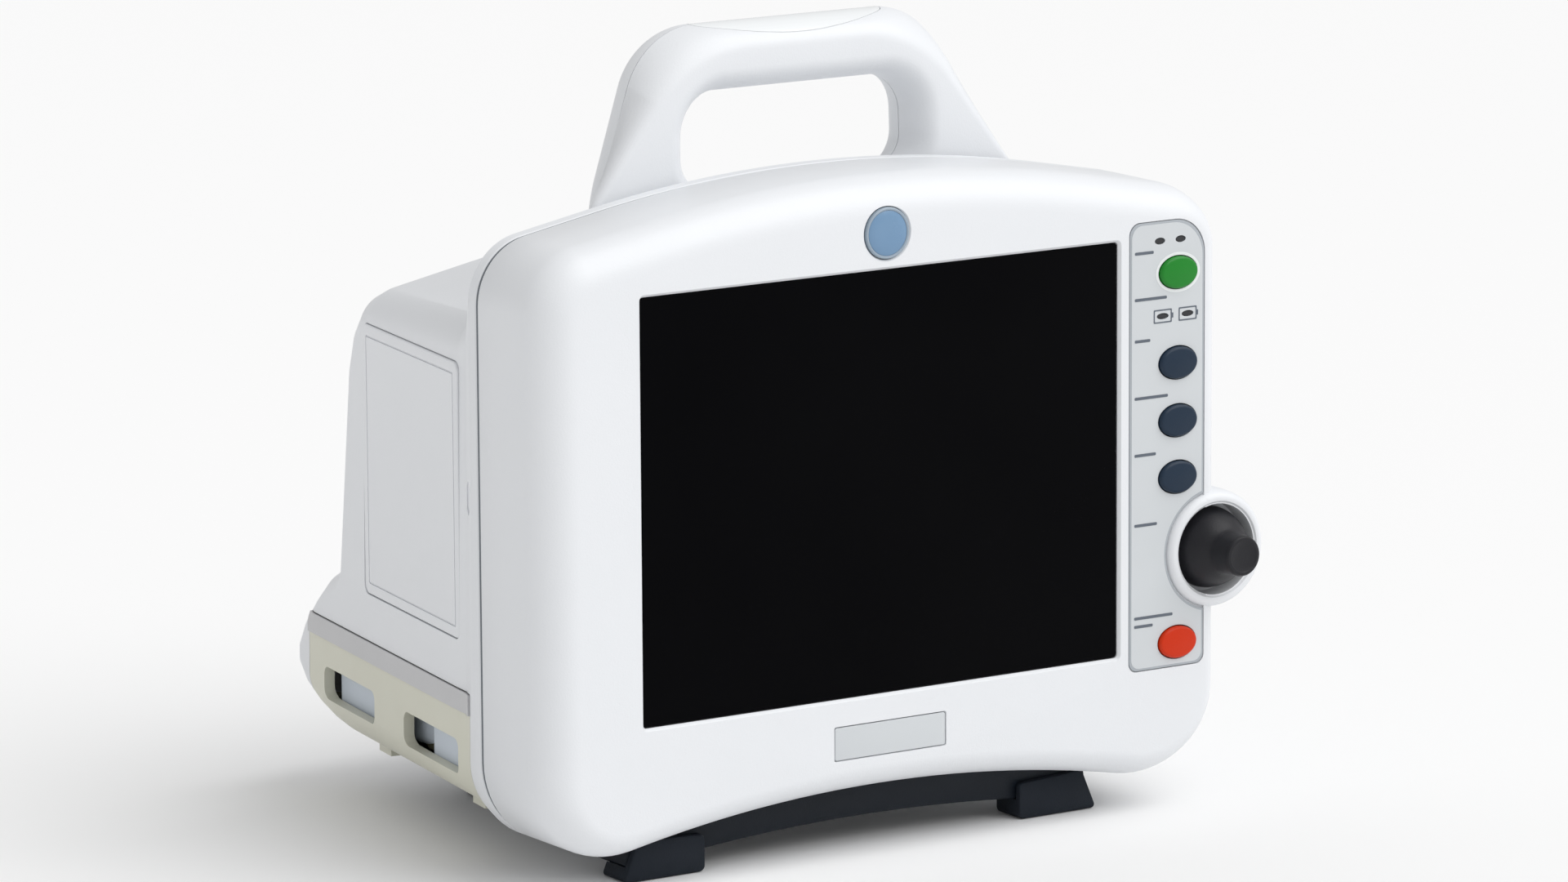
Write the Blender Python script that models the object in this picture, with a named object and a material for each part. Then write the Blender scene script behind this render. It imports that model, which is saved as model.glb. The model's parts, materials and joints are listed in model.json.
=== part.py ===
"""Portable bedside patient monitor, built as an assembly of separate pieces.

Design axes, in metres: X to the viewer's right, Y from the front face to the back, Z up. The
design's zero is the middle of the display opening on the front face. Every piece is parented to
one empty, which moves that zero so that the part stands on the ground with its box centred.
"""
import math

import bmesh
import bpy
from mathutils import Matrix, Vector

# ---- driving dimensions ------------------------------------------------------------------------
GAP = 0.0003                      # clearance between pieces that touch
WALL = 0.003                      # moulded wall thickness

SCREEN_WIDTH = 0.172
SCREEN_HEIGHT = 0.129
BODY_X = 0.0018                   # middle of the case, beside the middle of the display
BODY_HALF_WIDTH = 0.1220
SEAM_Y = 0.036                    # where the front bezel meets the rear housing
SOFT_EDGE = 0.012                 # rounding of the bezel's front edge
BOTTOM_EDGE = 0.0085              # the same along the bottom
RIGHT_EDGE = 0.005                # the same beside the key panel
RIGHT_EDGE_DEPTH = 0.006
SIDE_TAPER = 0.167                # how fast the rear body narrows towards the back
TAPER_START_Y = 0.040
SIDE_DRAFT = 0.012

KNOB_X, KNOB_Z = 0.1225, -0.0345
BULGE_RADIUS = 0.0185
WELL_RADIUS = 0.0142
KNOB_TIP_Y = -0.015
KNOB_PUSH = 0.0008
BUTTON_TRAVEL = 0.0015

HANDLE_FRONT_Y, HANDLE_REAR_Y = 0.044, 0.068
HANDLE_TOP_Z = 0.1345
BODY_BOTTOM_Z = -0.095
FLOOR_Z = -0.1145                 # underside of the feet
REAR_NOSE_Y = 0.188

BOX_CENTRE_X = ((BODY_X - BODY_HALF_WIDTH) + (KNOB_X + BULGE_RADIUS)) / 2
BOX_CENTRE_Y = (KNOB_TIP_Y + REAR_NOSE_Y) / 2

for old in list(bpy.data.objects):
    bpy.data.objects.remove(old, do_unlink=True)

design_zero = bpy.data.objects.new("design_zero", None)
design_zero.location = (-BOX_CENTRE_X, -BOX_CENTRE_Y, -FLOOR_Z)
bpy.context.scene.collection.objects.link(design_zero)


# ---- materials ---------------------------------------------------------------------------------
def finish(name, color, roughness=0.5, metallic=0.0):
    """A plain Principled finish."""
    material = bpy.data.materials.new(name)
    material.use_nodes = True
    shader = material.node_tree.nodes["Principled BSDF"]
    shader.inputs["Base Color"].default_value = (*color, 1.0)
    shader.inputs["Roughness"].default_value = roughness
    shader.inputs["Metallic"].default_value = metallic
    return material


WHITE = finish("white_casing", (0.86, 0.86, 0.87), 0.45)
PANEL = finish("key_panel", (0.60, 0.61, 0.63), 0.5)
GLASS = finish("display_glass", (0.01, 0.01, 0.01), 0.1)
BEIGE = finish("aged_cover", (0.58, 0.57, 0.48), 0.5)
NAVY = finish("base_moulding", (0.012, 0.018, 0.03), 0.5)
RUBBER = finish("foot_rubber", (0.01, 0.014, 0.022), 0.8)
SLATE = finish("dark_key", (0.025, 0.045, 0.08), 0.5)
GREEN = finish("power_key", (0.01, 0.25, 0.02), 0.45)
ORANGE = finish("silence_key", (0.6, 0.05, 0.005), 0.45)
KNOB = finish("knob_rubber", (0.03, 0.03, 0.035), 0.6)
BLUE = finish("badge_blue", (0.12, 0.25, 0.45), 0.35)
STEEL = finish("plated_steel", (0.6, 0.6, 0.62), 0.35, 1.0)
BOARD = finish("circuit_board", (0.02, 0.15, 0.06), 0.6)
DARK = finish("dark_plastic", (0.03, 0.03, 0.035), 0.6)
CELL = finish("battery_case", (0.35, 0.40, 0.46), 0.5)
LENS = finish("lamp_lens", (0.85, 0.86, 0.86), 0.3)


# ---- outlines ----------------------------------------------------------------------------------
def outline(corners):
    """Closed outline in X and Z, anticlockwise from the front, as points with outward normals.

    Each corner is (x, z, reach, steps): its arc starts and ends at reach from the corner.
    """
    result = []
    for i, (x, z, reach, steps) in enumerate(corners):
        here = Vector((x, z))
        into = (here - Vector(corners[i - 1][:2])).normalized()
        out = (Vector(corners[(i + 1) % len(corners)][:2]) - here).normalized()
        turn = math.atan2(into.x * out.y - into.y * out.x, into.dot(out))
        start = here - into * reach
        normal = Vector((into.y, -into.x))
        if abs(turn) < 1e-6:
            result += [(start + into * (2 * reach * k / steps), normal) for k in range(steps + 1)]
            continue
        radius = reach / math.tan(turn / 2)
        centre = start - normal * radius
        for k in range(steps + 1):
            spun = normal.copy()
            spun.rotate(Matrix.Rotation(turn * k / steps, 2))
            result.append((centre + spun * radius, spun))
    return result


def ring(shape, y, inset=0.0):
    """The outline as a loop at depth y, moved inwards by inset; either may be a rule."""
    points = []
    for point, normal in shape:
        step = inset(normal) if callable(inset) else inset
        depth = y(normal) if callable(y) else y
        at = point - normal * step
        points.append(Vector((at.x, depth, at.y)))
    return points


# ---- mesh makers -------------------------------------------------------------------------------
def add(name, mesh_maker, material=None, at=(0, 0, 0), turn=(0, 0, 0), smooth=True):
    """One named piece, made by a function that fills a bmesh, placed and turned."""
    mesh = bpy.data.meshes.new(name)
    shape = bmesh.new()
    mesh_maker(shape)
    bmesh.ops.remove_doubles(shape, verts=shape.verts, dist=1e-6)
    bmesh.ops.recalc_face_normals(shape, faces=shape.faces)
    if shape.calc_volume(signed=True) < 0:
        bmesh.ops.reverse_faces(shape, faces=shape.faces)
    shape.to_mesh(mesh)
    shape.free()
    if smooth:
        mesh.shade_smooth()
        mesh.set_sharp_from_angle(angle=math.radians(35))
    piece = bpy.data.objects.new(name, mesh)
    piece.location = at
    piece.rotation_euler = turn
    piece.parent = design_zero
    bpy.context.scene.collection.objects.link(piece)
    if material:
        mesh.materials.append(material)
    return piece


def loft(rings, closed=False):
    """A maker that skins a row of loops, capped at both ends, or closed into a tube."""
    def make(shape):
        loops = [[shape.verts.new(p) for p in points] for points in rings]
        count = len(loops[0])
        pairs = list(zip(loops, loops[1:]))
        if closed:
            pairs.append((loops[-1], loops[0]))
        for a, b in pairs:
            for i in range(count):
                j = (i + 1) % count
                shape.faces.new((a[i], a[j], b[j], b[i]))
        if not closed:
            shape.faces.new(loops[0])
            shape.faces.new(list(reversed(loops[-1])))
    return make


def box(low, high):
    """A maker for a block between two corners."""
    def make(shape):
        bmesh.ops.create_cube(shape, size=1.0)
        for vert in shape.verts:
            vert.co = Vector(high[k] if vert.co[k] > 0 else low[k] for k in range(3))
    return make


def plate(corners, y0, y1):
    """A maker for an outline in X and Z pulled from depth y0 to y1."""
    shape = outline(corners)
    return loft([ring(shape, y0), ring(shape, y1)])


def rounded(width, height, radius, x=0.0, z=0.0, steps=4):
    """Corners of a rounded rectangle about a point."""
    a, b = width / 2, height / 2
    return [(x + a, z - b, radius, steps), (x + a, z + b, radius, steps),
            (x - a, z + b, radius, steps), (x - a, z - b, radius, steps)]


def oval(width, height, x=0.0, z=0.0, steps=24):
    """An ellipse as points with normals."""
    result = []
    for k in range(steps):
        angle = 2 * math.pi * k / steps
        point = Vector((x + width / 2 * math.cos(angle), z + height / 2 * math.sin(angle)))
        normal = Vector((math.cos(angle) / width, math.sin(angle) / height)).normalized()
        result.append((point, normal))
    return result


def oval_plate(width, height, y0, y1, x=0.0, z=0.0, edge=0.0, steps=24):
    """A maker for an oval button or disc whose front edge may be rounded."""
    shape = oval(width, height, x, z, steps)
    rings = [ring(shape, y1), ring(shape, y0 + edge)]
    if edge:
        rings += [ring(shape, y0 + edge * 0.3, edge * 0.3), ring(shape, y0, edge)]
    return loft(rings)


def turned(profile, steps=32):
    """A maker for a piece turned about Y from (radius, y) points, capped at both ends."""
    rings = []
    for radius, y in profile:
        rings.append([Vector((radius * math.cos(2 * math.pi * k / steps), y,
                              radius * math.sin(2 * math.pi * k / steps))) for k in range(steps)])
    return loft(rings)


def tool(name, mesh_maker, at=(0, 0, 0), turn=(0, 0, 0)):
    """A cutter or helper solid, which isn't part of the model."""
    piece = add("tool_" + name, mesh_maker, at=at, turn=turn, smooth=False)
    piece.hide_render = True
    piece.display_type = 'WIRE'
    return piece


def combine(target, helper, operation='DIFFERENCE'):
    """Boolean of a piece with a helper solid."""
    step = target.modifiers.new(operation.lower(), 'BOOLEAN')
    step.operation = operation
    step.solver = 'EXACT'
    step.object = helper
    return target


# ---- case outlines -----------------------------------------------------------------------------
def case_corners(half_width, shoulder_z, rise, bottom_z, arch, draft=0.0, top=0.0166, bottom=0.0327):
    """Corners of the case's cross-section: crowned roof, arched underside, rounded corners."""
    left, right = BODY_X - half_width, BODY_X + half_width
    return [
        (BODY_X, bottom_z + arch, half_width * 0.72, 8),
        (right, bottom_z, bottom, 6),
        (right - draft, shoulder_z, top, 6),
        (BODY_X, shoulder_z + rise, half_width * 0.66, 8),
        (left + draft, shoulder_z, top, 6),
        (left, bottom_z, bottom, 6),
    ]


FRONT_SECTION = case_corners(BODY_HALF_WIDTH, 0.0769, 0.0227, -0.1095, 0.0235)


def body_half_width(y):
    """Half the width of the tapering rear body at depth y."""
    return BODY_HALF_WIDTH - 0.001 - SIDE_TAPER * (y - TAPER_START_Y)


def body_section(y, shoulder_z, bottom_z, top, bottom):
    """Cross-section of the rear body at depth y."""
    half = body_half_width(y)
    draft = SIDE_DRAFT * (shoulder_z - bottom_z)
    return case_corners(half, shoulder_z, 0.19 * half, bottom_z, 0.0004, draft, top, bottom)


def mixed(first, second, share):
    """Corners part of the way from one section to another."""
    return [tuple(a + (b - a) * share for a, b in zip(p[:3], q[:3])) + (p[3],)
            for p, q in zip(first, second)]


ROOF_FRONT = body_section(0.057, 0.0520, BODY_BOTTOM_Z, 0.010, 0.014)

# Stations of the rear housing, front to back: (depth, corners of its cross-section).
REAR_STATIONS = [
    (SEAM_Y + GAP, FRONT_SECTION),
    (0.041, FRONT_SECTION),
    (0.045, mixed(FRONT_SECTION, ROOF_FRONT, 0.35)),
    (0.050, mixed(FRONT_SECTION, ROOF_FRONT, 0.78)),
    (0.057, ROOF_FRONT),
    (0.128, body_section(0.128, 0.0490, BODY_BOTTOM_Z, 0.009, 0.014)),
    (0.136, body_section(0.136, 0.0460, BODY_BOTTOM_Z, 0.009, 0.014)),
    (0.141, body_section(0.141, 0.0405, BODY_BOTTOM_Z, 0.009, 0.014)),
    (0.1445, body_section(0.1445, 0.0310, BODY_BOTTOM_Z, 0.009, 0.014)),
    (0.153, body_section(0.153, -0.0370, BODY_BOTTOM_Z, 0.007, 0.014)),
    (0.157, body_section(0.157, -0.0415, BODY_BOTTOM_Z, 0.007, 0.014)),
    (0.167, body_section(0.167, -0.0460, -0.0942, 0.007, 0.014)),
    (0.1765, body_section(0.1765, -0.0530, -0.0918, 0.007, 0.013)),
    (0.184, body_section(0.184, -0.0610, -0.0865, 0.005, 0.009)),
    (REAR_NOSE_Y, body_section(REAR_NOSE_Y, -0.0685, -0.0790, 0.003, 0.004)),
]


def front_edge(normal):
    """Rounding of the bezel's front edge, by the way the edge faces."""
    return SOFT_EDGE - (SOFT_EDGE - RIGHT_EDGE) * max(0.0, normal.x) ** 2 \
        - (SOFT_EDGE - BOTTOM_EDGE) * max(0.0, -normal.y) ** 2


def front_depth(normal):
    """How far back that rounding reaches."""
    return SOFT_EDGE - (SOFT_EDGE - RIGHT_EDGE_DEPTH) * max(0.0, normal.x) ** 2


def front_shell(wall_steps=4):
    """Loops of the bezel, from the inside of its front wall, round the rim, to its face."""
    shape = outline(FRONT_SECTION)
    loops = [ring(shape, WALL, front_edge), ring(shape, SOFT_EDGE, WALL), ring(shape, SEAM_Y, WALL)]
    for k in range(wall_steps, -1, -1):
        angle = math.pi / 2 * k / wall_steps
        loops.append(ring(shape, lambda n, a=angle: front_depth(n) * (1 - math.cos(a)),
                          lambda n, a=angle: front_edge(n) * (1 - math.sin(a))))
        if k == wall_steps:
            loops.insert(-1, ring(shape, SEAM_Y, 0.0))
    return loops


def rear_outer(growth=0.0):
    """Loops of the rear housing's outside, front to back."""
    return [ring(outline(corners), y, -growth) for y, corners in REAR_STATIONS]


def rear_shell():
    """Loops of the rear housing, from the inside of its back wall, round the rim, to its back."""
    inside = [ring(outline(REAR_STATIONS[0][1]), REAR_STATIONS[0][0], WALL)]
    for y, corners in REAR_STATIONS[2:-1]:
        inside.append(ring(outline(corners), y - WALL, WALL))
    return inside[::-1] + rear_outer()


# ---- handle ------------------------------------------------------------------------------------
HANDLE_MIDDLE_Y = (HANDLE_FRONT_Y + HANDLE_REAR_Y) / 2
HANDLE_BASE_Z = 0.050


def handle_outline(foot, foot_z, top, top_reach):
    """Corners of the handle's outer outline: foot, flare and shoulder, left and right."""
    return [
        (BODY_X - foot, HANDLE_BASE_Z, 0.010, 2), (BODY_X + foot, HANDLE_BASE_Z, 0.010, 2),
        (BODY_X + foot, foot_z, 0.010, 3), (BODY_X + top, HANDLE_TOP_Z, top_reach, 6),
        (BODY_X - top, HANDLE_TOP_Z, top_reach, 6), (BODY_X - foot, foot_z, 0.010, 3),
    ]


HANDLE_FRONT = handle_outline(0.0860, 0.0800, 0.0431, 0.0237)
HANDLE_REAR = handle_outline(0.0680, 0.0810, 0.0510, 0.0184)
HANDLE_HOLE = [
    (BODY_X - 0.0410, 0.0860, 0.0095, 6), (BODY_X + 0.0418, 0.0860, 0.0095, 6),
    (BODY_X + 0.0410, 0.1143, 0.0124, 6), (BODY_X - 0.0410, 0.1143, 0.0124, 6),
]
HANDLE_ROUND = 0.0076             # how far the handle's section rounds in from its outline


def handle_loops(y_start, y_end, face, steps=5):
    """Loops round the handle's section, from its middle plane out to one face and back.

    face holds the corners of the outline at that face; the middle plane has the rear outline.
    """
    inner = outline(HANDLE_HOLE)
    inner = [(p, -n) for p, n in inner[4:] + inner[:4]]
    arcs = [math.pi / 2 * k / steps for k in range(steps + 1)]
    depth = y_end - y_start
    out_loops = [ring(outline(mixed(HANDLE_REAR, face, math.sin(a))), y_start + depth * math.sin(a),
                      HANDLE_ROUND * (1 - math.cos(a))) for a in arcs]
    in_loops = [ring(inner, y_start + depth * math.sin(a), HANDLE_ROUND * (1 - math.cos(a)))
                for a in reversed(arcs)]
    return out_loops + in_loops


# ---- case pieces -------------------------------------------------------------------------------
housing_envelope = tool("housing_envelope", loft(rear_outer(GAP)))
front_bezel = add("front_bezel", loft(front_shell()), WHITE)
rear_housing = add("rear_housing", loft(rear_shell()), WHITE)

BULGE_PROFILE = [(0.0040, 0.0345), (0.0120, 0.0310), (0.0168, 0.0240), (BULGE_RADIUS, 0.0150),
                 (BULGE_RADIUS, 0.0050), (0.0182, 0.0010), (0.0172, -0.0008), (0.0158, -0.0014),
                 (0.0146, -0.0010)]
knob_place = (KNOB_X, 0.0, KNOB_Z)
combine(front_bezel, tool("bulge", turned(BULGE_PROFILE), knob_place), 'UNION')
combine(front_bezel, tool("well", turned([(WELL_RADIUS, 0.0065), (WELL_RADIUS, -0.01)]), knob_place))
combine(front_bezel, tool("shaft_hole", turned([(0.0036, 0.02), (0.0036, 0.0)], 16), knob_place))
combine(front_bezel, tool("bulge_hollow", turned([(0.0125, 0.0225), (0.0125, 0.0095)]), knob_place))
combine(front_bezel, tool("bulge_way_in", box((KNOB_X - 0.020, 0.0095, KNOB_Z - 0.0110),
                                              (KNOB_X - 0.003, 0.0400, KNOB_Z + 0.0110))))

# display opening with a shallow bevel
combine(front_bezel, tool("display_opening", loft([
    ring(outline(rounded(SCREEN_WIDTH, SCREEN_HEIGHT, 0.001, steps=2)), 0.008, 0.0),
    ring(outline(rounded(SCREEN_WIDTH, SCREEN_HEIGHT, 0.001, steps=2)), 0.0010, 0.0),
    ring(outline(rounded(SCREEN_WIDTH, SCREEN_HEIGHT, 0.001, steps=2)), -0.0005, -0.0012),
])))

# ---- handle pieces -----------------------------------------------------------------------------
LENS_LENGTH, LENS_DEPTH, LENS_UNDER_Z = 0.068, 0.0200, 0.1290


def upright_oval(length, depth, z0, z1, steps=28):
    """A maker for an oval column standing in the handle's top."""
    rings = []
    for z in (z0, z1):
        rings.append([Vector((BODY_X + length / 2 * math.cos(2 * math.pi * k / steps),
                              HANDLE_MIDDLE_Y + depth / 2 * math.sin(2 * math.pi * k / steps), z))
                      for k in range(steps)])
    return loft(rings)


lamp_pocket = tool("lamp_pocket", upright_oval(LENS_LENGTH + 2 * GAP, LENS_DEPTH + 2 * GAP, 0.1250, 0.150))
for piece_name, outer_y, side, face in (("handle_front_half", HANDLE_FRONT_Y, -1, HANDLE_FRONT),
                                        ("handle_rear_half", HANDLE_REAR_Y, 1, HANDLE_REAR)):
    split_y = HANDLE_MIDDLE_Y + side * GAP / 2
    half = add(piece_name, loft(handle_loops(split_y, outer_y, face), closed=True), WHITE)
    combine(half, housing_envelope)
    combine(half, lamp_pocket)

front_loops = handle_loops(HANDLE_MIDDLE_Y, HANDLE_FRONT_Y, HANDLE_FRONT)
rear_loops = handle_loops(HANDLE_MIDDLE_Y, HANDLE_REAR_Y, HANDLE_REAR)
whole_handle = tool("whole_handle", loft(front_loops + rear_loops[::-1], closed=True))
alarm_light_lens = add("alarm_light_lens", upright_oval(LENS_LENGTH, LENS_DEPTH, LENS_UNDER_Z, 0.150), LENS)
combine(alarm_light_lens, whole_handle, 'INTERSECT')
add("alarm_light_board", box((BODY_X - 0.026, HANDLE_MIDDLE_Y - 0.005, 0.1253),
                             (BODY_X + 0.026, HANDLE_MIDDLE_Y + 0.005, 0.1268)), BOARD)


# ---- display -----------------------------------------------------------------------------------
add("display_window", plate(rounded(SCREEN_WIDTH - 2 * GAP, SCREEN_HEIGHT - 2 * GAP, 0.001, steps=2),
                            0.0009, 0.0029), GLASS)
add("lcd_panel", box((-0.092, 0.0034, -0.067), (0.0880, 0.0120, 0.067)), DARK)
display_bracket = add("display_bracket", box((-0.098, 0.0124, -0.074), (0.0900, 0.0138, 0.074)), STEEL)
combine(display_bracket, tool("bracket_window", box((-0.050, 0.010, -0.030), (0.050, 0.016, 0.030))))
add("backlight_inverter", box((-0.085, 0.0142, 0.048), (0.020, 0.0162, 0.070)), BOARD)

# ---- key panel ---------------------------------------------------------------------------------
PANEL_LEFT, PANEL_RIGHT, PANEL_HALF_HEIGHT = 0.0900, 0.1180, 0.0695
PANEL_THICKNESS = 0.0006
BUTTON_X = 0.1080
BUTTON_SIZE = (0.0140, 0.0100)
BUTTONS = {"power_button": (0.0533, GREEN), "print_button": (0.0253, SLATE),
           "cuff_button": (0.0073, SLATE), "zero_button": (-0.0103, SLATE),
           "silence_button": (-0.0620, ORANGE)}
INDICATORS = {"mains_indicator": (0.1012, 0.0635, 0.0034, 0.0016),
              "battery_indicator": (0.1090, 0.0635, 0.0034, 0.0016),
              "charge_indicator_a": (0.1023, 0.0402, 0.0040, 0.0014),
              "charge_indicator_b": (0.1117, 0.0402, 0.0040, 0.0014)}


def panel_corners(growth=0.0):
    """Corners of the key panel's outline, grown all round."""
    left, right = PANEL_LEFT - growth, PANEL_RIGHT + growth
    half = PANEL_HALF_HEIGHT + growth
    return [(right, -half, 0.003, 3), (right, half, 0.011, 5),
            (left, half, 0.004, 3), (left, -half, 0.003, 3)]


panel_recess = tool("panel_recess", plate(panel_corners(GAP), -0.004, 0.0009))
combine(panel_recess, tool("recess_stop", turned([(0.0177, 0.01), (0.0177, -0.01)]), knob_place))
combine(front_bezel, panel_recess)
keypad_overlay = add("keypad_overlay", plate(panel_corners(), 0.0, PANEL_THICKNESS), PANEL)
combine(keypad_overlay, tool("knob_cut_out", turned([(0.0180, 0.01), (0.0180, -0.01)]), knob_place))

keypad_board = add("keypad_board", box((0.0915, 0.0082, -0.068), (0.1150, 0.0096, 0.068)), BOARD)
combine(keypad_board, tool("board_relief", box((0.1015, 0.005, -0.056), (0.130, 0.012, -0.013))))

for button_name, (button_z, button_finish) in BUTTONS.items():
    wide, high = BUTTON_SIZE
    hole = tool(button_name + "_hole", oval_plate(wide + 0.0007, high + 0.0007, -0.005, 0.008),
                (BUTTON_X, 0, button_z))
    combine(front_bezel, hole)
    combine(keypad_overlay, hole)
    cap = oval(wide, high)
    add(button_name, loft([ring(cap, 0.0050, -0.0014), ring(cap, 0.0036, -0.0014), ring(cap, 0.0036),
                           ring(cap, -0.0008), ring(cap, -0.0015, 0.0006), ring(cap, -0.0018, 0.0016)]),
        button_finish, (BUTTON_X, 0, button_z))

for lamp_name, (lamp_x, lamp_z, wide, high) in INDICATORS.items():
    slot = tool(lamp_name + "_hole", oval_plate(wide + 0.0005, high + 0.0005, -0.005, 0.008, steps=12),
                (lamp_x, 0, lamp_z))
    combine(front_bezel, slot)
    combine(keypad_overlay, slot)
    add(lamp_name, oval_plate(wide, high, 0.0002, 0.0078, steps=12), DARK, (lamp_x, 0, lamp_z))

# ---- control knob ------------------------------------------------------------------------------
add("encoder_body", box((-0.006, 0.0120, -0.006), (0.006, 0.0204, 0.006)), DARK, knob_place)
add("encoder_board", box((-0.0185, 0.0208, -0.0085), (0.0075, 0.0220, 0.0085)), BOARD, knob_place)
add("encoder_shaft", turned([(0.0030, 0.0110), (0.0030, -0.0075), (0.0024, -0.0080)], 16), STEEL, knob_place)
KNOB_PROFILE = [(0.0033, -0.0084), (0.0033, 0.0046), (0.0118, 0.0052), (0.0127, 0.0046), (0.0126, 0.0020),
                (0.0112, -0.0020), (0.0088, -0.0052), (0.0072, -0.0066), (0.0066, -0.0078),
                (0.0064, -0.0140),
                (0.0058, -0.0148), (0.0050, KNOB_TIP_Y)]
add("trim_knob", turned(KNOB_PROFILE), KNOB, knob_place)

# ---- badge and name plate ----------------------------------------------------------------------
BADGE_AT = (0.0010, 0.0, 0.0755)
BADGE_RADIUS = 0.0078
combine(front_bezel, tool("badge_recess", turned([(BADGE_RADIUS + GAP, 0.0018),
                                                  (BADGE_RADIUS + GAP, -0.01)]), BADGE_AT))
add("badge_disc", turned([(BADGE_RADIUS, 0.0015), (BADGE_RADIUS, 0.0),
                          (0.0072, -0.0005), (0.0055, -0.0007)]),
    BLUE, BADGE_AT)
NAME_PLATE = dict(width=0.040, height=0.010, radius=0.0006, x=0.0015, z=-0.0780, steps=1)
combine(front_bezel, tool("name_recess",
                          plate(rounded(0.0406, 0.0106, 0.0006, 0.0015, -0.0780, 1), -0.004, 0.0011)))
add("name_plate", plate(rounded(**NAME_PLATE), 0.0001, 0.0008), PANEL)

# ---- foot bar and feet -------------------------------------------------------------------------
front_envelope = tool("front_envelope", loft([ring(outline(FRONT_SECTION), 0.0, -GAP),
                                              ring(outline(FRONT_SECTION), 0.05, -GAP)]))
BAR_CORNERS = [(BODY_X + 0.0845, -0.1104, 0.001, 1), (BODY_X + 0.0800, -0.0800, 0.001, 1),
               (BODY_X - 0.0800, -0.0800, 0.001, 1), (BODY_X - 0.0845, -0.1104, 0.001, 1),
               (BODY_X, -0.1038, 0.050, 6)]


def bar_corners(growth):
    """The bar's corners, lowered and widened by a growth."""
    return [(x + math.copysign(growth, x - BODY_X) if x != BODY_X else x,
             z - growth if z < -0.09 else z, reach, steps) for x, z, reach, steps in BAR_CORNERS]


foot_bar = add("foot_bar", plate(BAR_CORNERS, 0.0170, 0.0340), NAVY, smooth=False)
combine(foot_bar, front_envelope)
bar_bed = tool("bar_bed", loft([ring(outline(bar_corners(GAP)), 0.0170 - GAP),
                                ring(outline(bar_corners(GAP)), 0.040)]))
for foot_name, side in (("front_foot_left", -1), ("front_foot_right", 1)):
    foot = add(foot_name, plate([(BODY_X + side * 0.0575, FLOOR_Z, 0.0005, 1),
                                 (BODY_X + side * 0.0575, -0.1032, 0.0005, 1),
                                 (BODY_X + side * 0.0812, -0.1020, 0.0005, 1),
                                 (BODY_X + side * 0.0865, FLOOR_Z, 0.0005, 1)], 0.0146, 0.0275),
               RUBBER, smooth=False)
    combine(foot, bar_bed)
    combine(foot, front_envelope)

# ---- sides of the rear body --------------------------------------------------------------------
LEAN = math.atan(SIDE_TAPER)
WALL_START = BODY_HALF_WIDTH - 0.001
LEFT_WALL = dict(at=(BODY_X - WALL_START, TAPER_START_Y, 0), turn=(0, 0, -(math.pi / 2 + LEAN)))
RIGHT_WALL = dict(at=(BODY_X + WALL_START, TAPER_START_Y, 0), turn=(0, 0, math.pi / 2 + LEAN))
# Along the left wall X counts forwards, so a piece s behind the wall's start is at X = -s;
# along the right wall X counts backwards. Negative Y is outside in both.


def rod(radius, x0, x1, y, z, steps=16):
    """A maker for a round bar along X."""
    return loft([[Vector((x, y + radius * math.cos(2 * math.pi * k / steps),
                          z + radius * math.sin(2 * math.pi * k / steps))) for k in range(steps)]
                 for x in (x0, x1)])


def shifted(maker, x, z):
    """The same piece moved along X and Z."""
    def make(shape):
        maker(shape)
        for vert in shape.verts:
            vert.co += Vector((x, 0, z))
    return make


def wall_plate(name, low, high, wall, material, radius=0.003):
    """A flat plate let into the housing's wall, with its opening; returns the plate."""
    wide, tall = high[0] - low[0], high[1] - low[1]
    x, z = (low[0] + high[0]) / 2, (low[1] + high[1]) / 2
    combine(rear_housing, tool(name + "_opening", plate(
        rounded(wide + 2 * GAP, tall + 2 * GAP, radius + GAP, x, z), -0.012, 0.015), **wall))
    return add(name, plate(rounded(wide, tall, radius, x, z), 0.0008, 0.0032), material, **wall)


wall_plate("side_blank_plate", (-0.0936, -0.0435), (-0.0157, 0.0402), LEFT_WALL, WHITE)

# ---- battery door ------------------------------------------------------------------------------
DOOR_FRONT, DOOR_BACK, DOOR_TOP, DOOR_REACH = 0.0065, 0.1415, -0.0585, 0.019
HINGE_Z = BODY_BOTTOM_Z - 0.0026
PIN_RADIUS = 0.0010
LUG_RADIUS = 0.0022


def door_block(growth):
    """A maker for the part of the wall taken by the door."""
    return box((-DOOR_BACK - growth, -0.020, -0.120),
               (-DOOR_FRONT + growth, DOOR_REACH + growth, DOOR_TOP + growth))


battery_door = add("battery_door", loft(rear_shell()), BEIGE)
combine(battery_door, tool("door_part", door_block(0.0), **LEFT_WALL), 'INTERSECT')
combine(rear_housing, tool("door_opening", door_block(GAP), **LEFT_WALL))
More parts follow.
